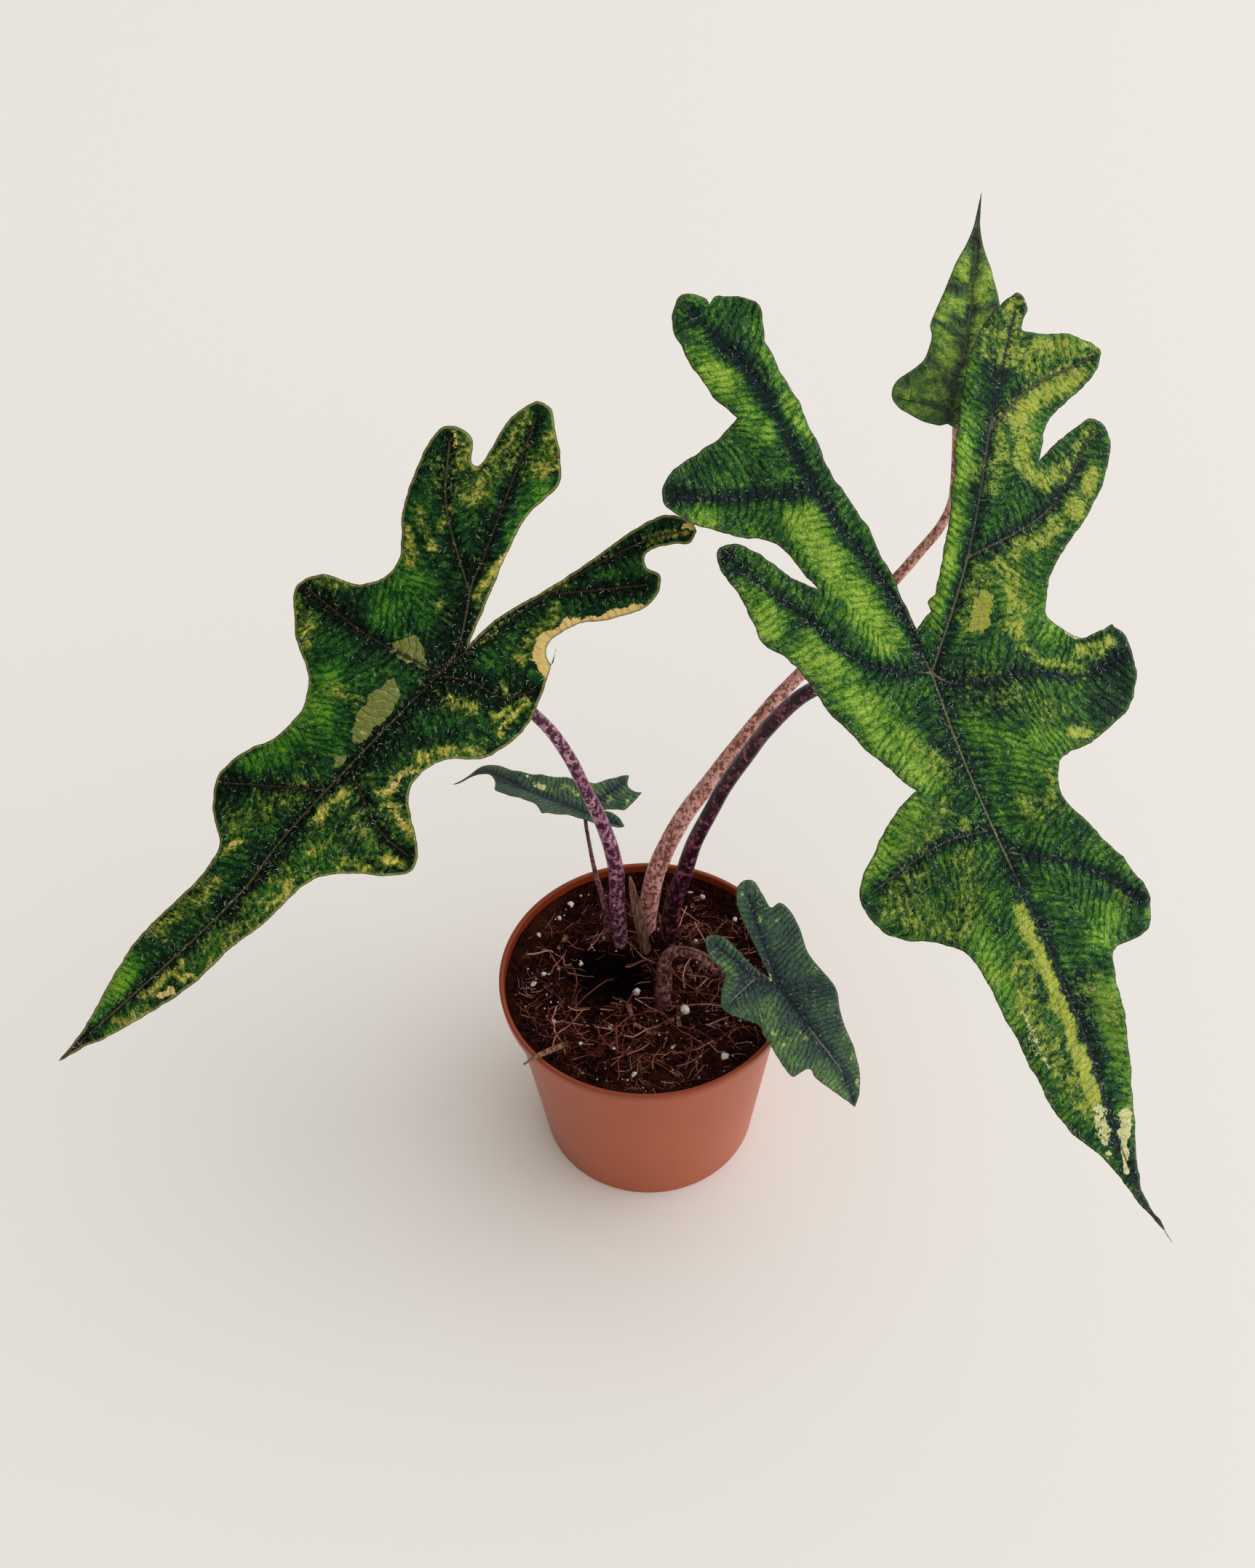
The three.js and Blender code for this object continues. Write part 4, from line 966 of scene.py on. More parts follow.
    # The bright strokes lighten the greens and calm the creases and net: partly lighter green tissue, partly
    # painted highlight where the blade is tilted to the light.
    calm = weighed(tree, 1, [(bright, -0.6)])
    green = weighed(tree, tones["green"] - 2.02, [
        (cloud, 0.9), (blotch, 0.7), (brush, 0.6), (fleck, 0.85), (grit, 0.7), (cell, 0.2),
        (soft["dome"], 0.1), (bright, 0.4), (dark, -0.36), (soft["band"], -0.3),
    ])
    ramp = add_node(tree, "ShaderNodeValToRGB", {0: green})
    ramp.color_ramp.elements.remove(ramp.color_ramp.elements[1])
    ramp.color_ramp.elements[0].color = colour(tones["greens"][0])
    for step, tone in enumerate(tones["greens"][1:], 1):
        ramp.color_ramp.elements.new(step / (len(tones["greens"]) - 1)).color = colour(tone)
    surface = layered(tree, ramp.outputs[0], [
        (crisp["lime"], tones["lime"]), (crisp["yellow"], tones["yellow"]),
        (crisp["light"], tones["light yellow"]), (soft["patched"], tones["patch"]),
        (soft["netted"], calm, 0.4, tones["net"]), (soft["netted"], pale, 0.25, tones["pale net"]),
        (soft["navy"], tones["band tone"]), (soft["creamy"], tones["cream"]),
        (crisp["crease"], weighed(tree, 1, [(pale, -0.9)]), calm, tones["creased"], tones["crease"]),
        (crisp["crease"], pale, 0.9, tones["pale net"]), (soft["pale edge"], tones["edge"]),
        (soft["outer edge"], tones["crease"]), (soft["cord"], tones["rib"]),
        (soft["pale cord"], pale_rib, tones["pale rib"]), (soft["dried"], "#6a4a30"),
    ])
    relief = weighed(tree, 0, [
        (soft["dome"], tones["quilting"]), (crisp["crease"], -0.25), (soft["netted"], -0.18), (blotch, 1.1),
        (fleck, 0.4), (grit, 0.3),
    ])
    finish_surface(tree, shader, surface, relief, 1)
    tree.links.new(weighed(tree, 0.3, [(fleck, 0.25)]), shader.inputs["Roughness"])
    return material


def leaf_underside(name, tones):
    """The paler, matt underside with its raised purple ribs and side veins."""
    material, tree, shader = new_surface(name, Roughness=0.55, Specular_IOR_Level=0.25)
    blade, start, off_rib, gap = side_veins(tree, tones["vein spacing"])
    rib, yellow, cream = (add_node(tree, "ShaderNodeAttribute", attribute_name=label).outputs["Fac"]
                          for label in ("rib", "yellow", "cream"))
    cloud, pores = (
        add_node(tree, "ShaderNodeTexNoise", {
            "Vector": blade, "Scale": METRE / size, "Detail": detail,
        }).outputs[0]
        for size, detail in ((12, 4), (0.8, 2))
    )
    spans = {
        "lighter": (cloud, 0.35, 0.65, 0, 1),
        "washed": (weighed(tree, -0.5, [(yellow, 1), (cloud, 1)]), 0.3, 0.8, 0, 0.7),
        "creamy": (cream, 0.4, 0.7, 0, 0.7),
        "vein": (gap, 0, 0.14, 1, 0),
        "rib": (rib, 0.8, 2.2, 0.9, 0),
    }
    soft = {
        label: add_node(tree, "ShaderNodeMapRange", dict(enumerate(span)),
                        interpolation_type="SMOOTHSTEP").outputs[0]
        for label, span in spans.items()
    }
    surface = layered(tree, tones["under"], [
        (soft["lighter"], tones["under light"]), (soft["washed"], tones["under yellow"]),
        (soft["creamy"], "#c3bb90"), (soft["vein"], 0.35, tones["under vein"]),
        (soft["rib"], tones["under rib"]),
    ])
    finish_surface(tree, shader, surface, weighed(tree, 0, [(soft["vein"], 1), (pores, 0.4)]), 0.3)
    return material


grown_tones = {
    "greens": ["#0c181a", "#143026", "#264f29", "#43782a", "#74a534", "#a6c94c"], "green": 0.44,
    "flecks": -0.08, "masked": 0.85, "edged": 0.25, "band": 3.6, "navy": 1.4, "gleam": 0.08,
    "brush": (1.4, 4.5), "vein spacing": 3, "creased": 0.85, "quilting": 0.55,
    "lime": "#5c8030", "yellow": "#8fa632", "light yellow": "#b4bd42", "patch": "#a2a636",
    "cream": "#d6d79c", "net": "#1d3d1c", "pale net": "#dad884", "crease": "#060f0c",
    "band tone": "#121b24", "rib": "#282b36", "pale rib": "#6f714a", "edge": "#7f8a52", "edge share": 0.3,
    "under": "#4a6a44", "under light": "#6a8758", "under yellow": "#9aa366", "under vein": "#5d6a4c",
    "under rib": "#6a4450",
}
left_tones = {
    **grown_tones, "greens": ["#020504", "#091b14", "#14391c", "#285f1d", "#4f8a24", "#84b032"],
    "green": 0.37, "flecks": 0, "masked": 0.72, "edged": 0, "gleam": 0.04, "cream": "#e6c47c",
    "lime": "#4c6c24", "yellow": "#97962e", "light yellow": "#e2d052", "patch": "#6c732e",
    "pale net": "#b9bc7e", "band tone": "#08090a", "rib": "#3c3028", "edge": "#a8a260", "edge share": 0.6,
}
small_tones = {
    **grown_tones, "greens": ["#20292e", "#2a3c3c", "#375142", "#476444", "#597d49", "#7a9c55"],
    "band": 3.5, "navy": 1.1, "flecks": -0.3, "masked": 0.95, "crease": "#101e1e", "band tone": "#1e2832",
    "yellow": "#a5b457", "light yellow": "#d5da88", "net": "#4a6658", "pale rib": "#a3ad98", "gleam": 0.15,
    "brush": (1.1, 1.8), "vein spacing": 2.2, "creased": 0.45, "quilting": 0.4,
}
young_tones = {
    **grown_tones, "greens": ["#14260d", "#21401a", "#3a621f", "#5a8624", "#86ac30", "#abc545"],
    "green": 0.4, "band": 2, "navy": 0.7, "flecks": -0.5, "crease": "#1c3216", "band tone": "#1c3216",
    "rib": "#2a3a1c",
    "brush": (3, 3), "gleam": 0.4, "vein spacing": 5.5, "creased": 0.2, "quilting": 0.5,
}
right_surfaces, left_surfaces, small_surfaces, young_surfaces = (
    [leaf_upper(f"{name} leaf, upper face", tones), leaf_underside(f"{name} leaf, underside", tones)]
    for name, tones in (
        ("right", grown_tones), ("left", left_tones), ("small", small_tones), ("young", young_tones),
    )
)

# In each leaf's table the bright strokes are partly lighter green tissue and partly painted highlight where
# the blade is tilted to the light.
right_leaf = {
    "name": "right_leaf", "slot": "leaf", "surfaces": right_surfaces, "spacing": 1.0,
    "junction": (96, -31, 290), "tip": (169, -173, 165), "face": (0.15, -0.6, 0.78),
    "arch": 15, "back_bend": 0.55, "channel_slope": 0.2, "channel_width": 18, "droop": 0.0006,
    "swells": [
        (-150, -25, 45, -10), (-112, 95, 40, -8), (-58, 95, 28, -6), (-62, -46, 26, -6), (22, 60, 28, -8),
        (60, -52, 28, -8), (96, 30, 24, -6), (38, 24, 20, 3), (34, -22, 20, 3), (128, 12, 16, 2),
        (128, -14, 16, 2), (-60, 40, 24, 3), (-70, -12, 22, 2.5),
    ],
    "edge": [
        [(-15.6, 2.5), (-34, 3), (-57, 2), (-75, -1), (-100, 0), (-127, -1)],
        [(-127, -1), (-131, 1), (-141, 2), (-148, -9), (-146, -13)],
        [(-146, -13), (-149, -13), (-153, -20), (-146, -27), (-116, -26), (-105, -22)],
        [(-105, -22), (-101, -30), (-95, -52), (-87, -57), (-69, -41), (-61, -29), (-40, -22)],
        [(-40, -22), (-46, -27), (-65, -39), (-66, -46), (-59, -48), (-46, -46), (-32, -47), (-18, -40),
         (-3, -38), (28, -27), (33, -24)],
        [(33, -24), (36, -31), (55, -52), (61, -54), (71, -51), (76, -46), (81, -37), (89, -30), (111, -28),
         (149, -23), (168, -13), (183, -8), (197, -2), (203, 0)],
        [(203, 0), (179, -5), (168, -2), (138, 6), (114, 12), (106, 15), (104, 30), (93, 35), (54, 20),
         (49, 20), (42, 25), (41, 38), (33, 61), (15, 69), (8, 66)],
        [(8, 66), (8, 54), (-2, 46), (-7, 47), (-16, 54), (-31, 78), (-43, 93), (-56, 100), (-61, 96),
         (-60, 90), (-56, 76), (-53, 69)],
        [(-53, 69), (-65, 80), (-74, 103), (-78, 108), (-82, 111), (-86, 109)],
        [(-86, 109), (-93, 100), (-97, 89), (-99, 87), (-106, 93), (-112, 92), (-107, 77)],
        [(-107, 77), (-99, 66), (-90, 58), (-82, 52), (-71, 44), (-40, 25), (-24.2, 13.5)],
        [(-24.2, 13.5), (-23, 10.4), (-19.4, 9.2)],
        [(-19.4, 9.2), (-15.6, 2.5)],
    ],
    "ribs": [
        [(0, 0), (34, -5), (102, -5), (156, -7), (181, -6), (200, -1)],
        [(0, 0), (-29, 0), (-72, -9), (-114, -10), (-147, -20)],
        [(-72, -9), (-84, -45), (-88, -53)],
        [(0, 0), (-11, -19), (-32, -30), (-62, -44)],
        [(54, -7), (52, -23), (58, -49)],
        [(0, 0), (-30, 28), (-67, 55), (-106, 88)],
        [(-31, 28), (-36, 63), (-56, 94)],
        [(-69, 57), (-78, 78), (-81, 106)],
        [(0, 0), (6, 5), (12, 29), (20, 48), (19, 65)],
        [(63, -4), (79, 20), (95, 32)],
    ],
    "rib_scale": 1, "pucker": 0.7, "roll": 0.5, "nick": 0.45, "wave": 0.7, "wave_length": 17,
    "yellow": [
        ([(-24, 38), (-14, 40), (-4, 33)], 5, 0.75), ([(-24, 30), (-12, 18)], 5, 0.6),
        ([(-27, 44), (-29, 60), (-36, 74)], 4.5, 0.72), ([(-58, 95), (-52, 86)], 4, 0.8),
        ([(-41, 86), (-31, 72)], 4, 0.85), ([(-49, 82), (-46, 70)], 3.5, 0.75),
        ([(-64, 68), (-54, 62), (-46, 66)], 4.5, 0.85), ([(-72, 63), (-60, 55), (-50, 46)], 4, 0.66),
        ([(-77, 98), (-76, 82), (-70, 66)], 5.5, 0.95), ([(-84, 107), (-88, 99)], 6, 0.75),
        ([(-92, 94), (-88, 84), (-94, 76)], 6.5, 0.75), ([(-110, 89), (-100, 82), (-90, 78)], 5, 0.8),
        ([(12, 63), (15, 57), (12, 50)], 3, 0.8), ([(18, 48), (10, 36), (4, 32)], 3, 0.75),
        ([(39, 39), (36, 32)], 3, 0.8), ([(48, 19), (56, 14), (52, 7)], 5, 0.55),
        ([(82, -9), (110, -9), (125, -10), (147, -10)], 3.2, 1.15),
        ([(96, -16), (112, -20), (130, -18), (150, -14)], 4.5, 0.68), ([(42, -20), (50, -32)], 6, 0.52),
        ([(80, -28), (72, -40)], 6, 0.58), ([(60, -36), (66, -46)], 8, 0.5), ([(50, -14)], 3, 0.8),
        ([(60, -18), (74, -24)], 5, 0.55), ([(112, 4), (136, 6)], 6, 0.5),
        ([(22, -16), (32, -14)], 4, 0.6), ([(-104, 76), (-96, 68)], 4, 0.5),
        ([(-60, 46), (-56, 44)], 4, 0.6), ([(8, 12), (26, 30)], 8, 0.4), ([(92, 27)], 4, 0.6),
    ],
    "cream": [
        ([(156, -2.5), (160, -4.5)], 2.8, 1.1), ([(150, -10), (159, -12)], 3, 0.58),
        ([(163, -6), (173, -8)], 1.3, 1), ([(165, -12)], 1.8, 0.6), ([(112, -22), (130, -22)], 2, 0.45),
        ([(-113, 92), (-110, 94), (-106, 94)], 1.2, 0.9), ([(8, 62), (8, 54), (4, 50)], 1, 0.8),
    ],
    "bright": [
        ([(-62, -17), (-45, -15), (-30, -12), (-16, -9)], 6, 1.1), ([(-122, -22)], 8, 1),
        ([(-108, -18), (-96, -15)], 4, 0.8), ([(-122, -3), (-92, -3)], 3, 0.8), ([(-78, -48)], 6, 0.9),
        ([(-48, -41), (-34, -43)], 5, 0.9), ([(-22, -33), (0, -27), (28, -20)], 7, 1),
        ([(-20, 12), (-60, 40), (-76, 50)], 4, 0.8), ([(0, 46), (-10, 40)], 7, 0.7),
        ([(118, 6), (150, 0)], 6, 0.8), ([(102, 14), (96, 20)], 5, 0.8),
        ([(86, -25), (112, -24)], 5, 0.8), ([(-66, -34)], 5, 0.7), ([(36, 26), (38, 20)], 6, 0.7),
        ([(24, 8), (36, 12)], 6, 0.5), ([(40, -30), (52, -44)], 6, 0.7),
        ([(-90, 100), (-80, 108)], 7, 0.7), ([(-70, 74), (-62, 70)], 5, 0.6),
    ],
    "dark": [
        ([(-92, 70), (-82, 62)], 4, 0.7), ([(24, 58), (18, 62)], 8, 0.8), ([(30, 50)], 6, 0.6),
        ([(4, 10), (18, 14)], 5, 0.8), ([(92, 31)], 4, 0.7), ([(110, -1), (150, -3)], 2.5, 0.8),
        ([(-88, -50)], 4, 0.7), ([(-118, -8), (-128, -14)], 4, 0.8), ([(10, -8), (40, -12)], 4, 0.7),
    ],
    "pale_ribs": [
        ([(3, 0), (34, -5), (64, -5)], 4, 1), ([(64, -5), (150, -6)], 3, 0.12),
        ([(0, 0), (-30, 28)], 4, 0.8), ([(-30, 28), (-67, 55)], 2.5, 0.35),
        ([(-31, 30), (-36, 63)], 2.5, 0.45), ([(-69, 57), (-78, 78), (-81, 106)], 3, 0.5),
        ([(54, -10), (54, -30), (58, -48)], 3, 0.3), ([(-44, 76), (-54, 92)], 2, 0.3),
    ],
    "patches": [
        [(-20, 28), (-17, 30), (-12, 28), (-7, 24), (-6, 20), (-9, 17), (-13, 20), (-16, 24)],
    ],
    "dry": [([(202, 0), (196, -2)], 1.5, 0.9), ([(-153, -19), (-152, -24)], 1, 0.8)],
    "shaggy": [
        ([(-64, -44), (-20, -36), (30, -20)], 11, 3), ([(-60, -12), (0, -4), (50, -12)], 9, 2),
        ([(40, -34), (80, -24), (150, -14)], 16, 1.6), ([(80, 16), (150, 2)], 10, 1),
    ],
}

left_leaf = {
    "name": "left_leaf", "slot": "leaf", "surfaces": left_surfaces, "spacing": 1.0,
    "junction": (-68, -8, 275), "tip": (-210, -87, 165), "face": (0, -0.72, 0.7),
    "arch": 14, "back_bend": 0.55, "channel_slope": 0.2, "channel_width": 16, "droop": 0.0008,
    "swells": [
        (-88, -36, 32, -8), (-95, 28, 30, 5), (-70, 34, 18, -9), (12, -54, 24, -8), (75, -28, 22, -6),
        (52, 38, 22, -8), (-5, 34, 20, -5), (28, -22, 18, 3), (25, 16, 15, 2), (110, 8, 14, 2),
        (-45, -28, 20, 3),
    ],
    "edge": [
        [(-13, 0), (-51, -15), (-59, -17), (-73, -17), (-79, -23)],
        [(-79, -23), (-81, -25)],
        [(-81, -25), (-85, -32), (-89, -38), (-87, -43), (-76, -45), (-58, -41), (-57, -43), (-63, -50),
         (-59, -59), (-32, -50), (-16, -37), (-8, -37), (0, -42), (6, -53), (15, -56), (26, -44), (32, -30),
         (41, -24), (55, -24), (65, -28), (78, -29), (87, -23), (96, -11), (142, -9), (179, -1.5), (196, 0)],
        [(196, 0), (183, 3.5), (173, 7), (138, 15), (116, 16), (103, 18), (78, 20), (55, 41), (38, 23),
         (32, 20), (20, 22), (11, 31), (5, 33), (-6, 34), (-22, 28), (-33, 22)],
        [(-33, 22), (-28, 25), (-30, 20), (-34, 19), (-45, 22), (-51, 27), (-66, 34), (-75, 30), (-74, 24),
         (-77, 21), (-86, 25), (-90, 29), (-95, 28)],
        [(-95, 28), (-96, 25), (-93, 18), (-86, 14), (-51, 7), (-25, 0.5), (-13, 0)],
    ],
    "ribs": [
        [(0, 0), (77, 2), (101, 5), (193, 0.5)],
        [(0, 0), (-10, -2), (-29, -14), (-37, -17), (-83, -39)],
        [(-26, -13), (-42, -40), (-57, -54)],
        [(1, -1), (9, -28), (13, -52)],
        [(54, 2), (80, -27)],
        [(44, 2), (53, 24), (53, 36)],
        [(1, 1), (-5, 10), (-8, 21), (-17, 27)],
        [(0, 0), (-17, 2), (-57, 10), (-83, 19), (-91, 24)],
        [(-46, 9), (-70, 29)],
    ],
    "rib_scale": 0.9, "pucker": 0.6, "roll": 0.5, "nick": 0.35, "wave": 0.6, "wave_length": 15,
    "yellow": [
        ([(-12, 27), (-6, 28), (0, 29)], 2.2, 0.9), ([(-1, 23), (-6, 24.5), (-10, 26)], 2, 0.95),
        ([(-12, 17), (-10.5, 21.5)], 1.6, 0.9), ([(3.7, 6.7), (2, 10)], 1.2, 0.9),
        ([(-22, 16), (-32, 14)], 3, 0.6), ([(-28, 3.5), (-17, 2.5)], 1.4, 1),
        ([(-50, 7.5), (-44, 6)], 1.6, 1), ([(-92, 26), (-87, 21), (-80, 18)], 1.8, 0.9),
        ([(-46, -11), (-38, -12), (-27, -10)], 2.2, 0.95), ([(-82, -30), (-72, -24)], 4, 0.7),
        ([(-66, -27)], 2, 0.7), ([(-58, -36), (-48, -34)], 4, 0.75),
        ([(-60, -53), (-56, -46)], 2.8, 0.8), ([(-82, -41), (-62, -39)], 3, 0.65),
        ([(-40, -37), (-36, -35)], 2.2, 0.8), ([(-34, -44), (-28, -32)], 2.2, 0.7),
        ([(-25, -41), (-19, -34)], 2.4, 0.75), ([(-17, -17)], 1.8, 0.8), ([(1, 17), (5, 9)], 3, 0.7),
        ([(16, 20), (24, 16), (42, 15)], 2.2, 0.85), ([(44, 22), (47, 32)], 3, 0.9),
        ([(56, 38), (59, 31)], 2, 0.9), ([(64, 30), (68, 22)], 2.5, 0.65),
        ([(84, 15), (96, 15)], 2, 0.8), ([(102, 14), (120, 13)], 2.5, 0.65),
        ([(134, 13), (138, 11)], 1.8, 0.95), ([(133, 7), (146, 6), (153, 6)], 2, 0.85),
        ([(157, 9), (167, 6)], 2.6, 0.85), ([(90, -8), (94, -9)], 2, 1),
        ([(104, -4), (132, -6)], 3.5, 0.6), ([(52, 5), (65, 5.5)], 2, 0.85), ([(46, -3)], 2, 0.85),
        ([(-42, 13), (-30, 18)], 3, 0.6), ([(70, 14), (130, 12)], 7, 0.42),
        ([(60, -6), (86, -12)], 6, 0.45), ([(-70, -35), (-50, -45)], 9, 0.45),
        ([(18, -50), (27, -38)], 3, 0.6), ([(0, -44), (8, -52)], 3, 0.6),
        ([(30, 22), (10, 28)], 4, 0.55), ([(60, 28), (50, 12)], 8, 0.45),
        ([(26, -16), (30, -22)], 4, 0.4),
    ],
    "cream": [
        ([(-62, 34), (-52, 27.5), (-42, 20.5), (-33, 17.5), (-26, 20), (-26, 25)], 2.4, 1.2),
        ([(-95, 27), (-94, 24)], 1.5, 0.9), ([(143, 11), (147, 10)], 1.4, 0.8),
        ([(-46, -12.5), (-41, -11.5)], 1.2, 0.8), ([(91, -9)], 1.4, 0.8),
        ([(-60, -54), (-57, -51)], 1.6, 0.45), ([(135, 12)], 1.5, 0.7), ([(28, 17), (40, 15)], 1, 0.6),
        ([(45, 24), (46, 28)], 1.5, 0.6), ([(-2, 28.5)], 1.6, 0.6),
    ],
    "bright": [
        ([(28, -24), (46, -19)], 7, 0.85), ([(150, -4), (172, -2)], 6, 1.1),
        ([(-14, -31), (-4, -28)], 8, 0.75), ([(-10, -18)], 7, 0.4), ([(120, 9), (130, 8)], 6, 0.7),
        ([(54, -19), (68, -24)], 5, 0.7), ([(98, 14), (70, 16)], 6, 0.5),
        ([(14, 26), (26, 19)], 4, 0.6), ([(-52, 14), (-60, 20)], 4, 0.6),
        ([(-70, -20), (-50, -16)], 4, 0.6), ([(170, 5), (160, 8)], 5, 0.7),
    ],
    "dark": [
        ([(-8, -2), (-2, 8), (6, 3)], 6, 1), ([(20, 3), (46, 4)], 4, 0.8),
        ([(-20, -12), (-4, -6)], 4, 0.8), ([(76, -22), (84, -24)], 5, 0.8),
        ([(60, 7), (140, 6)], 2, 0.6), ([(-8, 14), (-4, 20)], 4, 0.6), ([(-66, 24), (-52, 16)], 4, 0.7),
        ([(10, -36), (14, -48)], 6, 0.6),
    ],
    "pale_ribs": [
        ([(55, 3), (101, 5), (140, 4), (176, 3)], 2.5, 0.4), ([(20, 1), (50, 2)], 2, 0.3),
        ([(-14, -5), (-29, -14)], 2.5, 0.3), ([(-28, -18), (-42, -40), (-55, -52)], 2.5, 0.25),
    ],
    "patches": [
        [(3, -4), (1, -8), (-2, -10), (-3, -15), (1, -17), (5, -19), (7, -17), (5, -11), (4, -6)],
        [(15, -4), (12, -9), (18, -11), (27, -11), (33, -7), (37, -4), (34, -2), (22, -2.5)],
        [(42, -3), (44, -5), (47, -4), (46, -2)],
    ],
    "dry": [([(195, 0), (190, 0)], 1, 0.7), ([(-80, -24)], 1.2, 0.9)],
    "shaggy": [([(-20, 10), (40, 12), (150, 4)], 14, 1.5)],
}

front_leaf = {
    "name": "front_small_leaf", "slot": "leaf", "surfaces": small_surfaces, "spacing": 0.6,
    "junction": (52, -24, 113), "tip": (81, -53, 72), "face": (0.2, -0.6, 0.77),
    "arch": 5, "back_bend": 0.55, "channel_slope": 0.25, "channel_width": 8, "droop": 0.002,
    "swells": [(-38, 10, 14, -3), (-28, -14, 12, -2), (12, 18, 12, 2)],
    "edge": [
        [(-5, -1), (-38, 6), (-41.5, 11), (-41, 14), (-38, 16), (-27, 15.5), (-26.5, 19.5), (-19.5, 21),
         (-3, 17), (11, 17.5), (23, 13), (35.5, 11), (50.5, 6), (58, 0)],
        [(58, 0), (36, -8.5), (32.5, -8.5), (31, -10), (31, -15.5), (29.5, -16.5), (11, -16.5), (6.5, -16),
         (-6.5, -23.5), (-17, -14.5)],
        [(-17, -14.5), (-22.5, -15.5), (-25.5, -16), (-31.5, -13.5), (-32, -11.5), (-28.5, -7), (-13, -4),
         (-5, -1)],
    ],
    "ribs": [
        [(0, 0), (15.5, 0), (43.5, 2), (56, 0.5)],
        [(0, 0), (-25, 7), (-36, 11)],
        [(0, 0), (-11, -7), (-18.5, -8.5), (-28, -11.5)],
        [(-8.5, -6), (-7, -19)],
    ],
    "rib_scale": 0.6, "pucker": 0.4, "roll": 0.3, "nick": 0.2, "wave": 0.3, "wave_length": 11,
    "yellow": [
        ([(-21, -15)], 1, 1.1), ([(1, 16), (3, 16)], 0.9, 1), ([(-22, 14.5)], 0.9, 0.9),
        ([(-33, 12.5)], 0.9, 0.8), ([(-38.5, 9)], 1, 0.9), ([(12.5, -12.5)], 1.1, 1),
        ([(17.5, -13)], 1.2, 1), ([(37, 9.5), (40, 7.5)], 1, 1), ([(48, 5.5), (52, 5)], 0.9, 1),
        ([(18, -9.5)], 0.9, 0.9), ([(17, -5), (21, -4)], 1, 0.8), ([(-27, 11), (-25, 10)], 1, 0.8),
    ],
    "cream": [([(-4.6, -1), (-7, -0.8)], 0.8, 0.8), ([(-20.5, -15)], 0.7, 0.7)],
    "bright": [
        ([(-22, -12), (-19, -11)], 5, 0.9), ([(-12, -17), (-2, -18)], 4, 0.6),
        ([(4, -11), (16, -13), (26, -13)], 4.5, 0.65), ([(32, -4), (50, -2)], 5, 0.7),
        ([(-36, 12)], 5, 0.6), ([(24, 11), (40, 8)], 4, 0.5), ([(0, 15)], 3, 0.6),
    ],
    "dark": [
        ([(0, 0), (6, 8), (10, 16)], 3.5, 0.9), ([(-4, 2), (-14, 12)], 3, 0.8),
        ([(0, 0), (-10, -10)], 3.5, 0.9), ([(0, 0), (28, -1)], 4, 0.9), ([(22, 2), (24, 10)], 3, 0.6),
        ([(10, -4), (14, -8)], 3, 0.6),
    ],
    "pale_ribs": [([(-8, -8), (-7, -18)], 2, 0.4), ([(20, 1), (40, 2.5)], 2, 0.4)],
    "patches": [], "dry": [([(57, 0), (58, -2)], 1.5, 1)], "shaggy": [],
}

back_leaf = {
    "name": "back_leaf", "slot": "young_leaf", "surfaces": young_surfaces, "spacing": 0.8,
    "junction": (111, 64, 320), "tip": (129, 147, 358), "face": (-0.05, -0.45, 0.9),
    "arch": -3, "back_bend": 0.55, "channel_slope": 0.3, "channel_width": 10, "droop": 0.002,
    "swells": [(8, 18, 10, -2), (8, -18, 10, -2)],
    "edge": [
        [(-1.5, 0.5), (-3.2, 3.5), (-2.8, 6.5), (-1.5, 11), (2.5, 18), (8, 21.5), (13.5, 20.5), (22, 12.5),
         (27.5, 11), (33, 10.5), (37, 11.5), (51, 8.5), (62, 6), (77, 1.5), (93, 0)],
        [(93, 0), (77, -1.8), (60.5, -8), (50, -11.5), (38, -13), (30, -11.5), (24, -12.5), (15, -19.5),
         (9, -21.5), (3, -18), (-1.5, -10), (-3, -6.5), (-3.4, -3), (-1.5, 0.5)],
    ],
    "ribs": [
        [(1, 0), (17.5, 0), (27, -1.5), (39, -2), (90, 0)],
        [(4, 0.5), (7, 19)],
        [(4, -0.5), (8, -19)],
    ],
    "rib_scale": 0.6, "pucker": 0.5, "roll": 0.2, "nick": 0.1, "wave": 0.3, "wave_length": 14,
    "yellow": [([(19, 12.5)], 1, 1.1)],
    "cream": [],
    "bright": [
        ([(44, 7), (47, 3)], 4, 1.2), ([(27, 4), (34, 7)], 4.5, 1), ([(59, 3), (67, 2)], 3.5, 1.1),
        ([(4, 10), (8, 6)], 6, 0.7), ([(52, -5), (62, -5)], 5, 1), ([(38, -5)], 4, 0.9),
        ([(8, 17)], 5, 0.6), ([(20, 8)], 4, 0.7), ([(30, -7), (20, -10)], 5, 0.8), ([(6, -12)], 6, 0.7),
    ],
    "dark": [
        ([(39, 10), (36, 2)], 1.3, 0.9), ([(46, 9), (41, 1)], 1.8, 0.9), ([(54, 7), (54, 2)], 2, 0.8),
        ([(70, 1), (88, 0)], 3, 0.7), ([(22, 9), (14, 2)], 1.8, 0.8), ([(46, -2), (48, -9)], 1.6, 0.8),
        ([(24, -3), (27, -10)], 1.6, 0.8), ([(14, -2), (9, -16)], 2, 0.7),
    ],
    "pale_ribs": [([(26, -1), (70, -1)], 1.5, 0.4)],
    "patches": [], "dry": [([(92, 0)], 1.5, 0.7)], "shaggy": [],
}

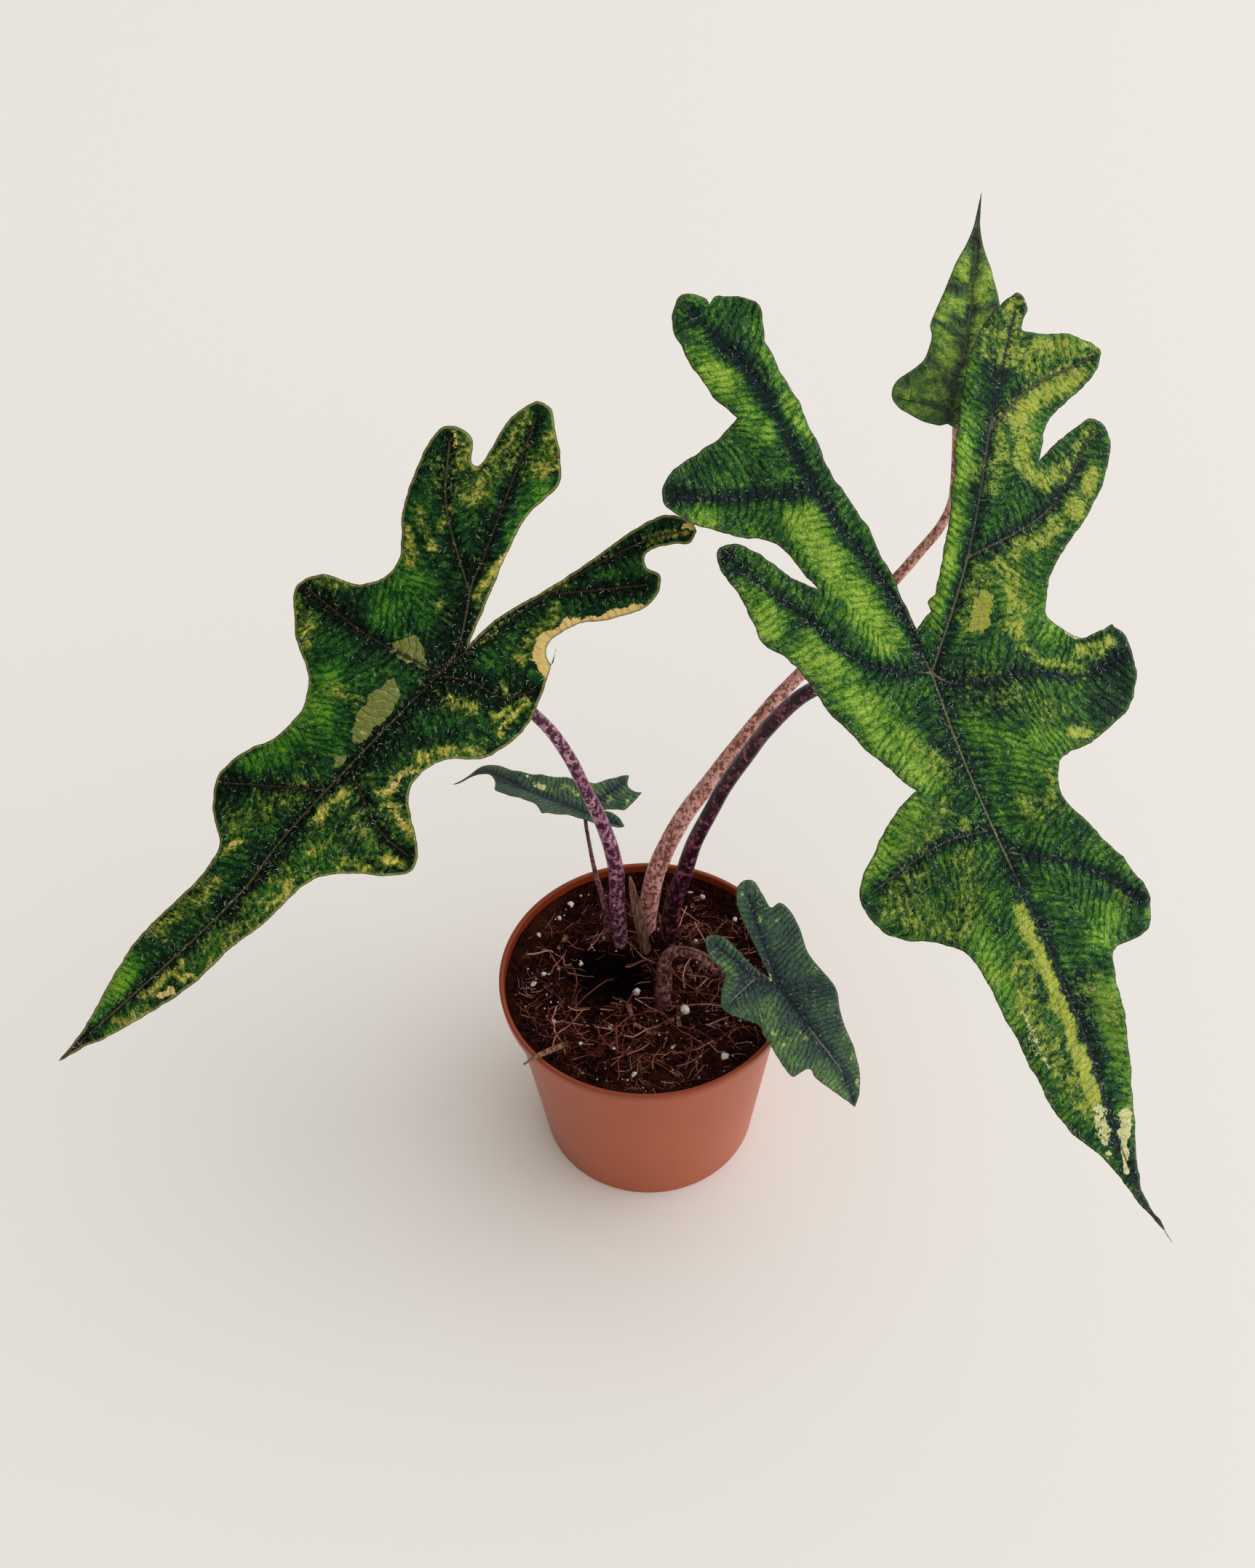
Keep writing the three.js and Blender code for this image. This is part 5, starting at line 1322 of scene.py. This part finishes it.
rear_leaf = {
    "name": "rear_small_leaf", "slot": "leaf", "surfaces": small_surfaces, "spacing": 0.6,
    "junction": (-22.5, 54.5, 132), "tip": (-76.5, 76.5, 132), "face": (0.1, 0.2, 0.97),
    "arch": 3, "back_bend": 0.5, "channel_slope": 0.3, "channel_width": 60, "droop": 0,
    "swells": [(61, -5, 10, -9)],
    "edge": [
        [(-5.5, -3.7), (-10.5, -7.3), (-13.6, -8), (-15, -12.5), (-16.8, -20)],
        [(-16.8, -20), (-13, -19.3), (-10.2, -20.8), (-8.3, -26.5)],
        [(-8.3, -26.5), (-5.8, -25), (-2.5, -21), (4, -14.5), (12.5, -12.8), (18, -11), (27, -8.8),
         (34.5, -8), (41.5, -9), (50, -10), (57, -8), (62, -5)],
        [(62, -5), (57, -6.8), (51, -6.6), (46, -4.6), (42.5, -2.4), (40, 1.6), (38.5, 6), (36.5, 8.6),
         (30, 9.8), (21.5, 9.3), (17.9, 11), (13.4, 15.8)],
        [(13.4, 15.8), (6, 10.2), (0.7, 7.4), (-5.4, 6.5), (-10, 4.4), (-13, 2.8), (-16.6, -0.4)],
        [(-16.6, -0.4), (-12.7, -3.8), (-9.8, -4.5), (-5.5, -3.7)],
    ],
    "ribs": [
        [(0, 0), (11, 1.5), (24.5, 0.5), (39, -3.5), (54, -8)],
        [(0, 0), (-3, -10), (-8, -22)],
        [(0, 0), (-8, 0.5), (-14, -0.5)],
    ],
    "rib_scale": 0.5, "pucker": 0.3, "roll": 0.2, "nick": 0.2, "wave": 0.2, "wave_length": 9,
    "yellow": [
        ([(-14, -10), (-14, -14)], 1.6, 0.8), ([(-7, -9), (-6, -13)], 1.6, 0.8),
        ([(0, -12.5), (-4, -12)], 1.6, 0.85), ([(8, -6), (14, -7)], 2, 0.85),
        ([(20, -4), (24, -5)], 2, 0.9), ([(28, -6.5)], 1.6, 0.85), ([(17, -4)], 2, 0.6),
        ([(-10, -16)], 2, 0.6),
    ],
    "cream": [([(21, -4), (23, -4.3)], 1.1, 0.95), ([(28.5, -6.6)], 1, 0.8)],
    "bright": [([(-10, -20), (4, -13)], 3, 0.6)],
    "dark": [([(2, 2), (20, 1)], 2.5, 0.8)],
    "pale_ribs": [], "patches": [], "dry": [([(61, -5)], 1.5, 0.7)], "shaggy": [],
}

leaves = [right_leaf, left_leaf, front_leaf, back_leaf, rear_leaf]
for leaf in leaves:
    blade = blade_mesh(leaf)
    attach(blade, "root")
    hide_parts(leaf["name"] + "_blade")
    leaf["piece"] = blade

# Leaf hairs
# Short stiff white hairs on the upper faces, thickest along the ribs and the margin. They catch the
# light as fine glints, and are drawn a little thicker than the real ones so that they show.

HAIR_LENGTH = 1.4
HAIR_RADIUS = 0.048
HAIR_LEAN = 1.3

# Leaf hair: smooth and white, glossy enough to glint.
hair, tree, shader = new_surface(
    "leaf hair", Base_Color=colour("#dfe6d6"), Roughness=0.3, Specular_IOR_Level=0.6
)

hair_tree, given = new_grower("leaf_hairs", ("Density", "Length", "Radius", "Lean"))
hairy = add_node(hair_tree, "GeometryNodeInputNamedAttribute", {"Name": "hairy"}, data_type="FLOAT")
growth = add_node(hair_tree, "ShaderNodeMath", {0: hairy.outputs[0], 1: given["Density"]},
                  operation="MULTIPLY")
roots = add_node(hair_tree, "GeometryNodeDistributePointsOnFaces", {
    "Mesh": given["Geometry"], "Density": growth.outputs[0], "Seed": 6,
})
strand = add_node(hair_tree, "GeometryNodeCurvePrimitiveBezierSegment", {
    "Resolution": 3, "Start": (0, 0, 0), "Start Handle": (0, 0, 0.4), "End Handle": (0.1, 0, 0.8),
    "End": (0.35, 0, 1),
})
section = add_node(hair_tree, "GeometryNodeCurvePrimitiveCircle", {
    "Resolution": 3, "Radius": given["Radius"],
})
strand = add_node(hair_tree, "GeometryNodeCurveToMesh", {
    "Curve": strand.outputs[0], "Profile Curve": section.outputs[0], "Fill Caps": True,
})
lean = add_node(hair_tree, "FunctionNodeRandomValue", {
    0: (0, 0, -math.pi), 1: (0, 1, math.pi), "Seed": 2,
}, data_type="FLOAT_VECTOR")
most = add_node(hair_tree, "ShaderNodeCombineXYZ", {0: 1, 1: given["Lean"], 2: 1})
lean = add_node(hair_tree, "ShaderNodeVectorMath", {0: lean.outputs[0], 1: most.outputs[0]},
                operation="MULTIPLY")
turned_out = add_node(hair_tree, "FunctionNodeRotateRotation", {
    "Rotation": roots.outputs["Rotation"],
    "Rotate By": add_node(hair_tree, "FunctionNodeEulerToRotation", {0: lean.outputs[0]}).outputs[0],
}, rotation_space="LOCAL")
lengths = add_node(hair_tree, "FunctionNodeRandomValue", {2: 0.4, 3: 1.0, "Seed": 9})
lengths = add_node(hair_tree, "ShaderNodeMath", {0: lengths.outputs[1], 1: given["Length"]},
                   operation="MULTIPLY")
grown = add_node(hair_tree, "GeometryNodeInstanceOnPoints", {
    "Points": roots.outputs["Points"], "Instance": strand.outputs[0], "Rotation": turned_out.outputs[0],
    "Scale": lengths.outputs[0],
})
real = add_node(hair_tree, "GeometryNodeRealizeInstances", {0: grown.outputs[0]})
dressed = add_node(hair_tree, "GeometryNodeSetMaterial", {"Geometry": real.outputs[0], "Material": hair})
hair_tree.links.new(dressed.outputs[0], hair_tree.nodes.new("NodeGroupOutput").inputs[0])

for leaf, density in ((right_leaf, 165000), (left_leaf, 150000), (front_leaf, 130000)):
    hairs = grown_on(leaf["piece"], leaf["name"] + "_hairs", hair_tree, {
        "Density": density, "Length": HAIR_LENGTH * MM, "Radius": HAIR_RADIUS / HAIR_LENGTH,
        "Lean": HAIR_LEAN,
    })
    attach(hairs, "root")

# Stems
# Five fleshy leaf stalks that rise from one crown under the soil. Each is round, tapers upward and is
# mottled with maroon; each carries one blade and stands 20 mm deep in the mix.

STEM_FOOT = 64
STEM_SIDES = 28
STEM_STEP = 1.4
PRESSED_WITHIN = 14
ROOM_UNDER_RIB = 0.8


def stem_skin(name, ground, blotch, deep, blotch_size, cover):
    """Smooth waxy skin: a ground colour that drifts to a blotch colour, with spots of a deep one in two
    sizes; cover is how much of the skin they take."""
    material, tree, shader = new_surface(name, Roughness=0.36, Specular_IOR_Level=0.14)
    place = add_node(tree, "ShaderNodeTexCoord").outputs["Object"]
    long_way = add_node(tree, "ShaderNodeMapping", {"Vector": place, "Scale": (1, 1, 0.7)}).outputs[0]
    drift, spots, freckles, pores = (
        add_node(tree, "ShaderNodeTexNoise", {
            "Vector": long_way, "Scale": METRE / size, "Detail": 3, "Roughness": 0.6,
        }).outputs[0]
        for size in (blotch_size * 2.6, blotch_size, blotch_size * 0.45, 0.5)
    )
    edge = 0.5 + 0.14 * (0.5 - cover)
    surface = layered(tree, ground, [
        (add_node(tree, "ShaderNodeMapRange", {0: value, 1: low, 2: high, 4: share},
                  interpolation_type="SMOOTHSTEP").outputs[0], tone)
        for value, low, high, share, tone in (
            (drift, 0.38, 0.62, 0.75, blotch), (freckles, 0.5, 0.6, 0.6, blotch),
            (spots, edge - 0.03, edge + 0.04, 0.92, deep), (freckles, edge + 0.05, edge + 0.1, 0.8, deep),
        )
    ])
    finish_surface(tree, shader, surface, pores, 0.2, 0.5)
    return material


def under_blade(points, leaf):
    """The points of a stalk, with those that would come through its blade pressed flat under it."""
    origin, length_way, across, face, length = blade_frame(leaf)
    points = np.array(points, float)
    x, y, height = ((points - origin) @ way for way in (length_way, across, face))
    near = np.hypot(x, y) < PRESSED_WITHIN
    room = blade_form(leaf, length, x, y) - ROOM_UNDER_RIB * leaf["rib_scale"] - BLADE_THICKNESS
    points += face * np.where(near, np.minimum(0, room - height), 0)[:, None]
    return points


stems = [
    {
        "leaf": left_leaf,
        "path": [(-10.3, 26, STEM_FOOT), (-10.3, 26, 84), (-11, 26, 108), (-11, 26, 127), (-13, 24, 146),
                 (-17, 22, 166), (-22, 19, 186), (-27, 16, 206), (-34, 12, 226), (-44, 6, 246),
                 (-56, -1, 264), (-68.5, -8, 275.5)],
        "radii": [3.3, 3.3, 3.2, 2.8, 2.5, 2.3, 2, 1.8],
        "skin": stem_skin("mauve mottled stalk", "#cc94a4", "#925874", "#38122c", 2.3, 0.55),
        "slot": "stem",
    },
    {
        "leaf": right_leaf,
        "path": [(8.5, 21, STEM_FOOT), (8.5, 21, 84), (10, 20, 98), (12, 19, 116), (16, 17, 136),
                 (19.5, 14, 156), (25, 11, 176), (31, 8, 196), (38, 3.5, 216), (45, -1, 235), (58, -9, 261),
                 (75, -19, 279), (96, -31, 290.5)],
        "radii": [3.9, 3.8, 3.5, 3.1, 2.9, 2.9, 2.8, 2.6, 2.4],
        "skin": stem_skin("dark maroon stalk", "#8e4c64", "#481a2e", "#18040c", 2.6, 0.8),
        "slot": "dark_stem",
    },
    {
        "leaf": back_leaf,
        "path": [(0.5, 30, STEM_FOOT), (0.5, 30, 84), (2, 30, 102), (5, 31, 120), (10, 32, 136),
                 (17.2, 34, 152), (26.3, 36, 167), (34.3, 38, 180), (43.3, 41, 193), (53, 44, 206),
                 (79, 51, 235), (96, 56, 254), (104, 58, 265), (111, 60, 275), (114.3, 61, 285),
                 (114.5, 62.5, 300), (114, 64.5, 312), (113.5, 66.5, 321)],
        "radii": [4, 4, 3.9, 3.6, 3.2, 2.8, 2.5, 2.2, 1.9, 1.7, 1.6],
        "skin": stem_skin("pinkish tan stalk", "#f0b8ae", "#c4867a", "#844a44", 1.7, 0.35),
        "slot": "pale_stem",
    },
    {
        "leaf": rear_leaf,
        "path": [(-15.5, 29, STEM_FOOT), (-15.5, 29, 84), (-15.8, 29.5, 93), (-17, 32, 103.5),
                 (-19.7, 38, 113), (-21.8, 46, 122), (-23, 52, 129), (-22.8, 54.5, 132.5)],
        "radii": [1.7, 1.6, 1.4, 1.1, 0.8, 0.8],
        "skin": stem_skin("thin brown stalk", "#9a6a66", "#6a4044", "#42242a", 1.6, 0.5),
        "slot": "stem",
    },
    {
        "leaf": front_leaf,
        "path": [(6, -9, STEM_FOOT), (6, -9, 84), (7, -9, 100), (7, -9, 110), (8.5, -9.6, 117),
                 (11, -10.5, 120.5), (16, -12, 122), (22, -14, 121), (27, -16, 116.5), (32, -17.7, 113),
                 (42, -21, 112), (52, -24, 113.5)],
        "radii": [3.5, 3.5, 3.3, 3, 2.2, 2, 1.9, 1.8],
        "skin": stem_skin("mauve brown stalk", "#9a6a64", "#62383a", "#34181c", 1.6, 0.5),
        "slot": "stem",
    },
]

for stem in stems:
    points, faces = rod(stem["path"], stem["radii"], STEM_SIDES, STEM_STEP)
    points = under_blade(points, stem["leaf"])
    piece = mesh_piece(stem["leaf"]["name"] + "_stalk", points, faces, [stem["skin"]])
    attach(piece, "root")
    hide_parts(stem["leaf"]["name"] + "_stem")

# Floor, light and camera
# A pale seamless floor under a soft sky that is brightest towards a window on the right, seen from above
# at the photograph's angle.

FLOOR_SIZE = 16000
WINDOW_WAY = (1, 0, 0)
SKY_STRENGTH = (0.14, 1.72)
CAMERA_PLACE = (-5.4, -542.7, 794.2)
CAMERA_PITCH = 47.25
CAMERA_ROLL = -1.7
LENS = 50
SENSOR = 36
LAMP_PLACE = (3200, 100, 1300)
LAMP_AIM = (0, 0, 150)
LAMP_SIZE = 3000
LAMP_WATTS = 32

# Pale floor: matt off-white paper, which takes a soft shadow and gives no gleam.
paper, tree, shader = new_surface(
    "pale floor", Base_Color=colour("#f3f1ee"), Roughness=0.9, Specular_IOR_Level=0.1
)
half = FLOOR_SIZE / 2
floor = mesh_piece("floor", [(-half, -half, 0), (half, -half, 0), (half, half, 0), (-half, half, 0)],
                   [(0, 1, 2, 3)], [paper])

world = bpy.data.worlds.new("studio")
world.use_nodes = True
bpy.context.scene.world = world
background = world.node_tree.nodes["Background"]
way = add_node(world.node_tree, "ShaderNodeTexCoord").outputs["Generated"]
from_window = add_node(world.node_tree, "ShaderNodeVectorMath", {0: way, 1: WINDOW_WAY},
                       operation="DOT_PRODUCT")
glow = add_node(world.node_tree, "ShaderNodeMapRange", {
    0: from_window.outputs["Value"], 1: -1, 2: 1, 3: SKY_STRENGTH[0], 4: SKY_STRENGTH[1],
})
daylight = add_node(world.node_tree, "ShaderNodeMapRange", {0: from_window.outputs["Value"], 1: -1, 2: 1})
sky = layered(world.node_tree, "#ece3d3", [(daylight.outputs[0], "#fbfdff")])
world.node_tree.links.new(glow.outputs[0], background.inputs["Strength"])
world.node_tree.links.new(sky, background.inputs["Color"])

light = bpy.data.lights.new("window", "AREA")
light.size = LAMP_SIZE * MM
light.energy = LAMP_WATTS
light.color = colour("#fffbf6")[:3]
lamp = bpy.data.objects.new("window", light)
lamp.location = Vector(LAMP_PLACE) * MM
aim = Vector(LAMP_AIM) * MM - lamp.location
lamp.rotation_euler = aim.to_track_quat("-Z", "Y").to_euler()
bpy.context.scene.collection.objects.link(lamp)

pitch = math.radians(CAMERA_PITCH)
roll = math.radians(CAMERA_ROLL)
forward = Vector((0, math.cos(pitch), -math.sin(pitch)))
level_up = Vector((0, math.sin(pitch), math.cos(pitch)))
level_right = Vector((1, 0, 0))
right = level_right * math.cos(roll) + level_up * math.sin(roll)
up = level_up * math.cos(roll) - level_right * math.sin(roll)
view = bpy.data.cameras.new("camera")
view.lens = LENS
view.sensor_width = SENSOR
view.clip_end = 20
camera = bpy.data.objects.new("camera", view)
camera.matrix_world = (
    Matrix.Translation(Vector(CAMERA_PLACE) * MM) @ Matrix((right, up, -forward)).transposed().to_4x4()
)
bpy.context.scene.collection.objects.link(camera)
bpy.context.scene.camera = camera
bpy.context.scene.view_settings.view_transform = "Standard"
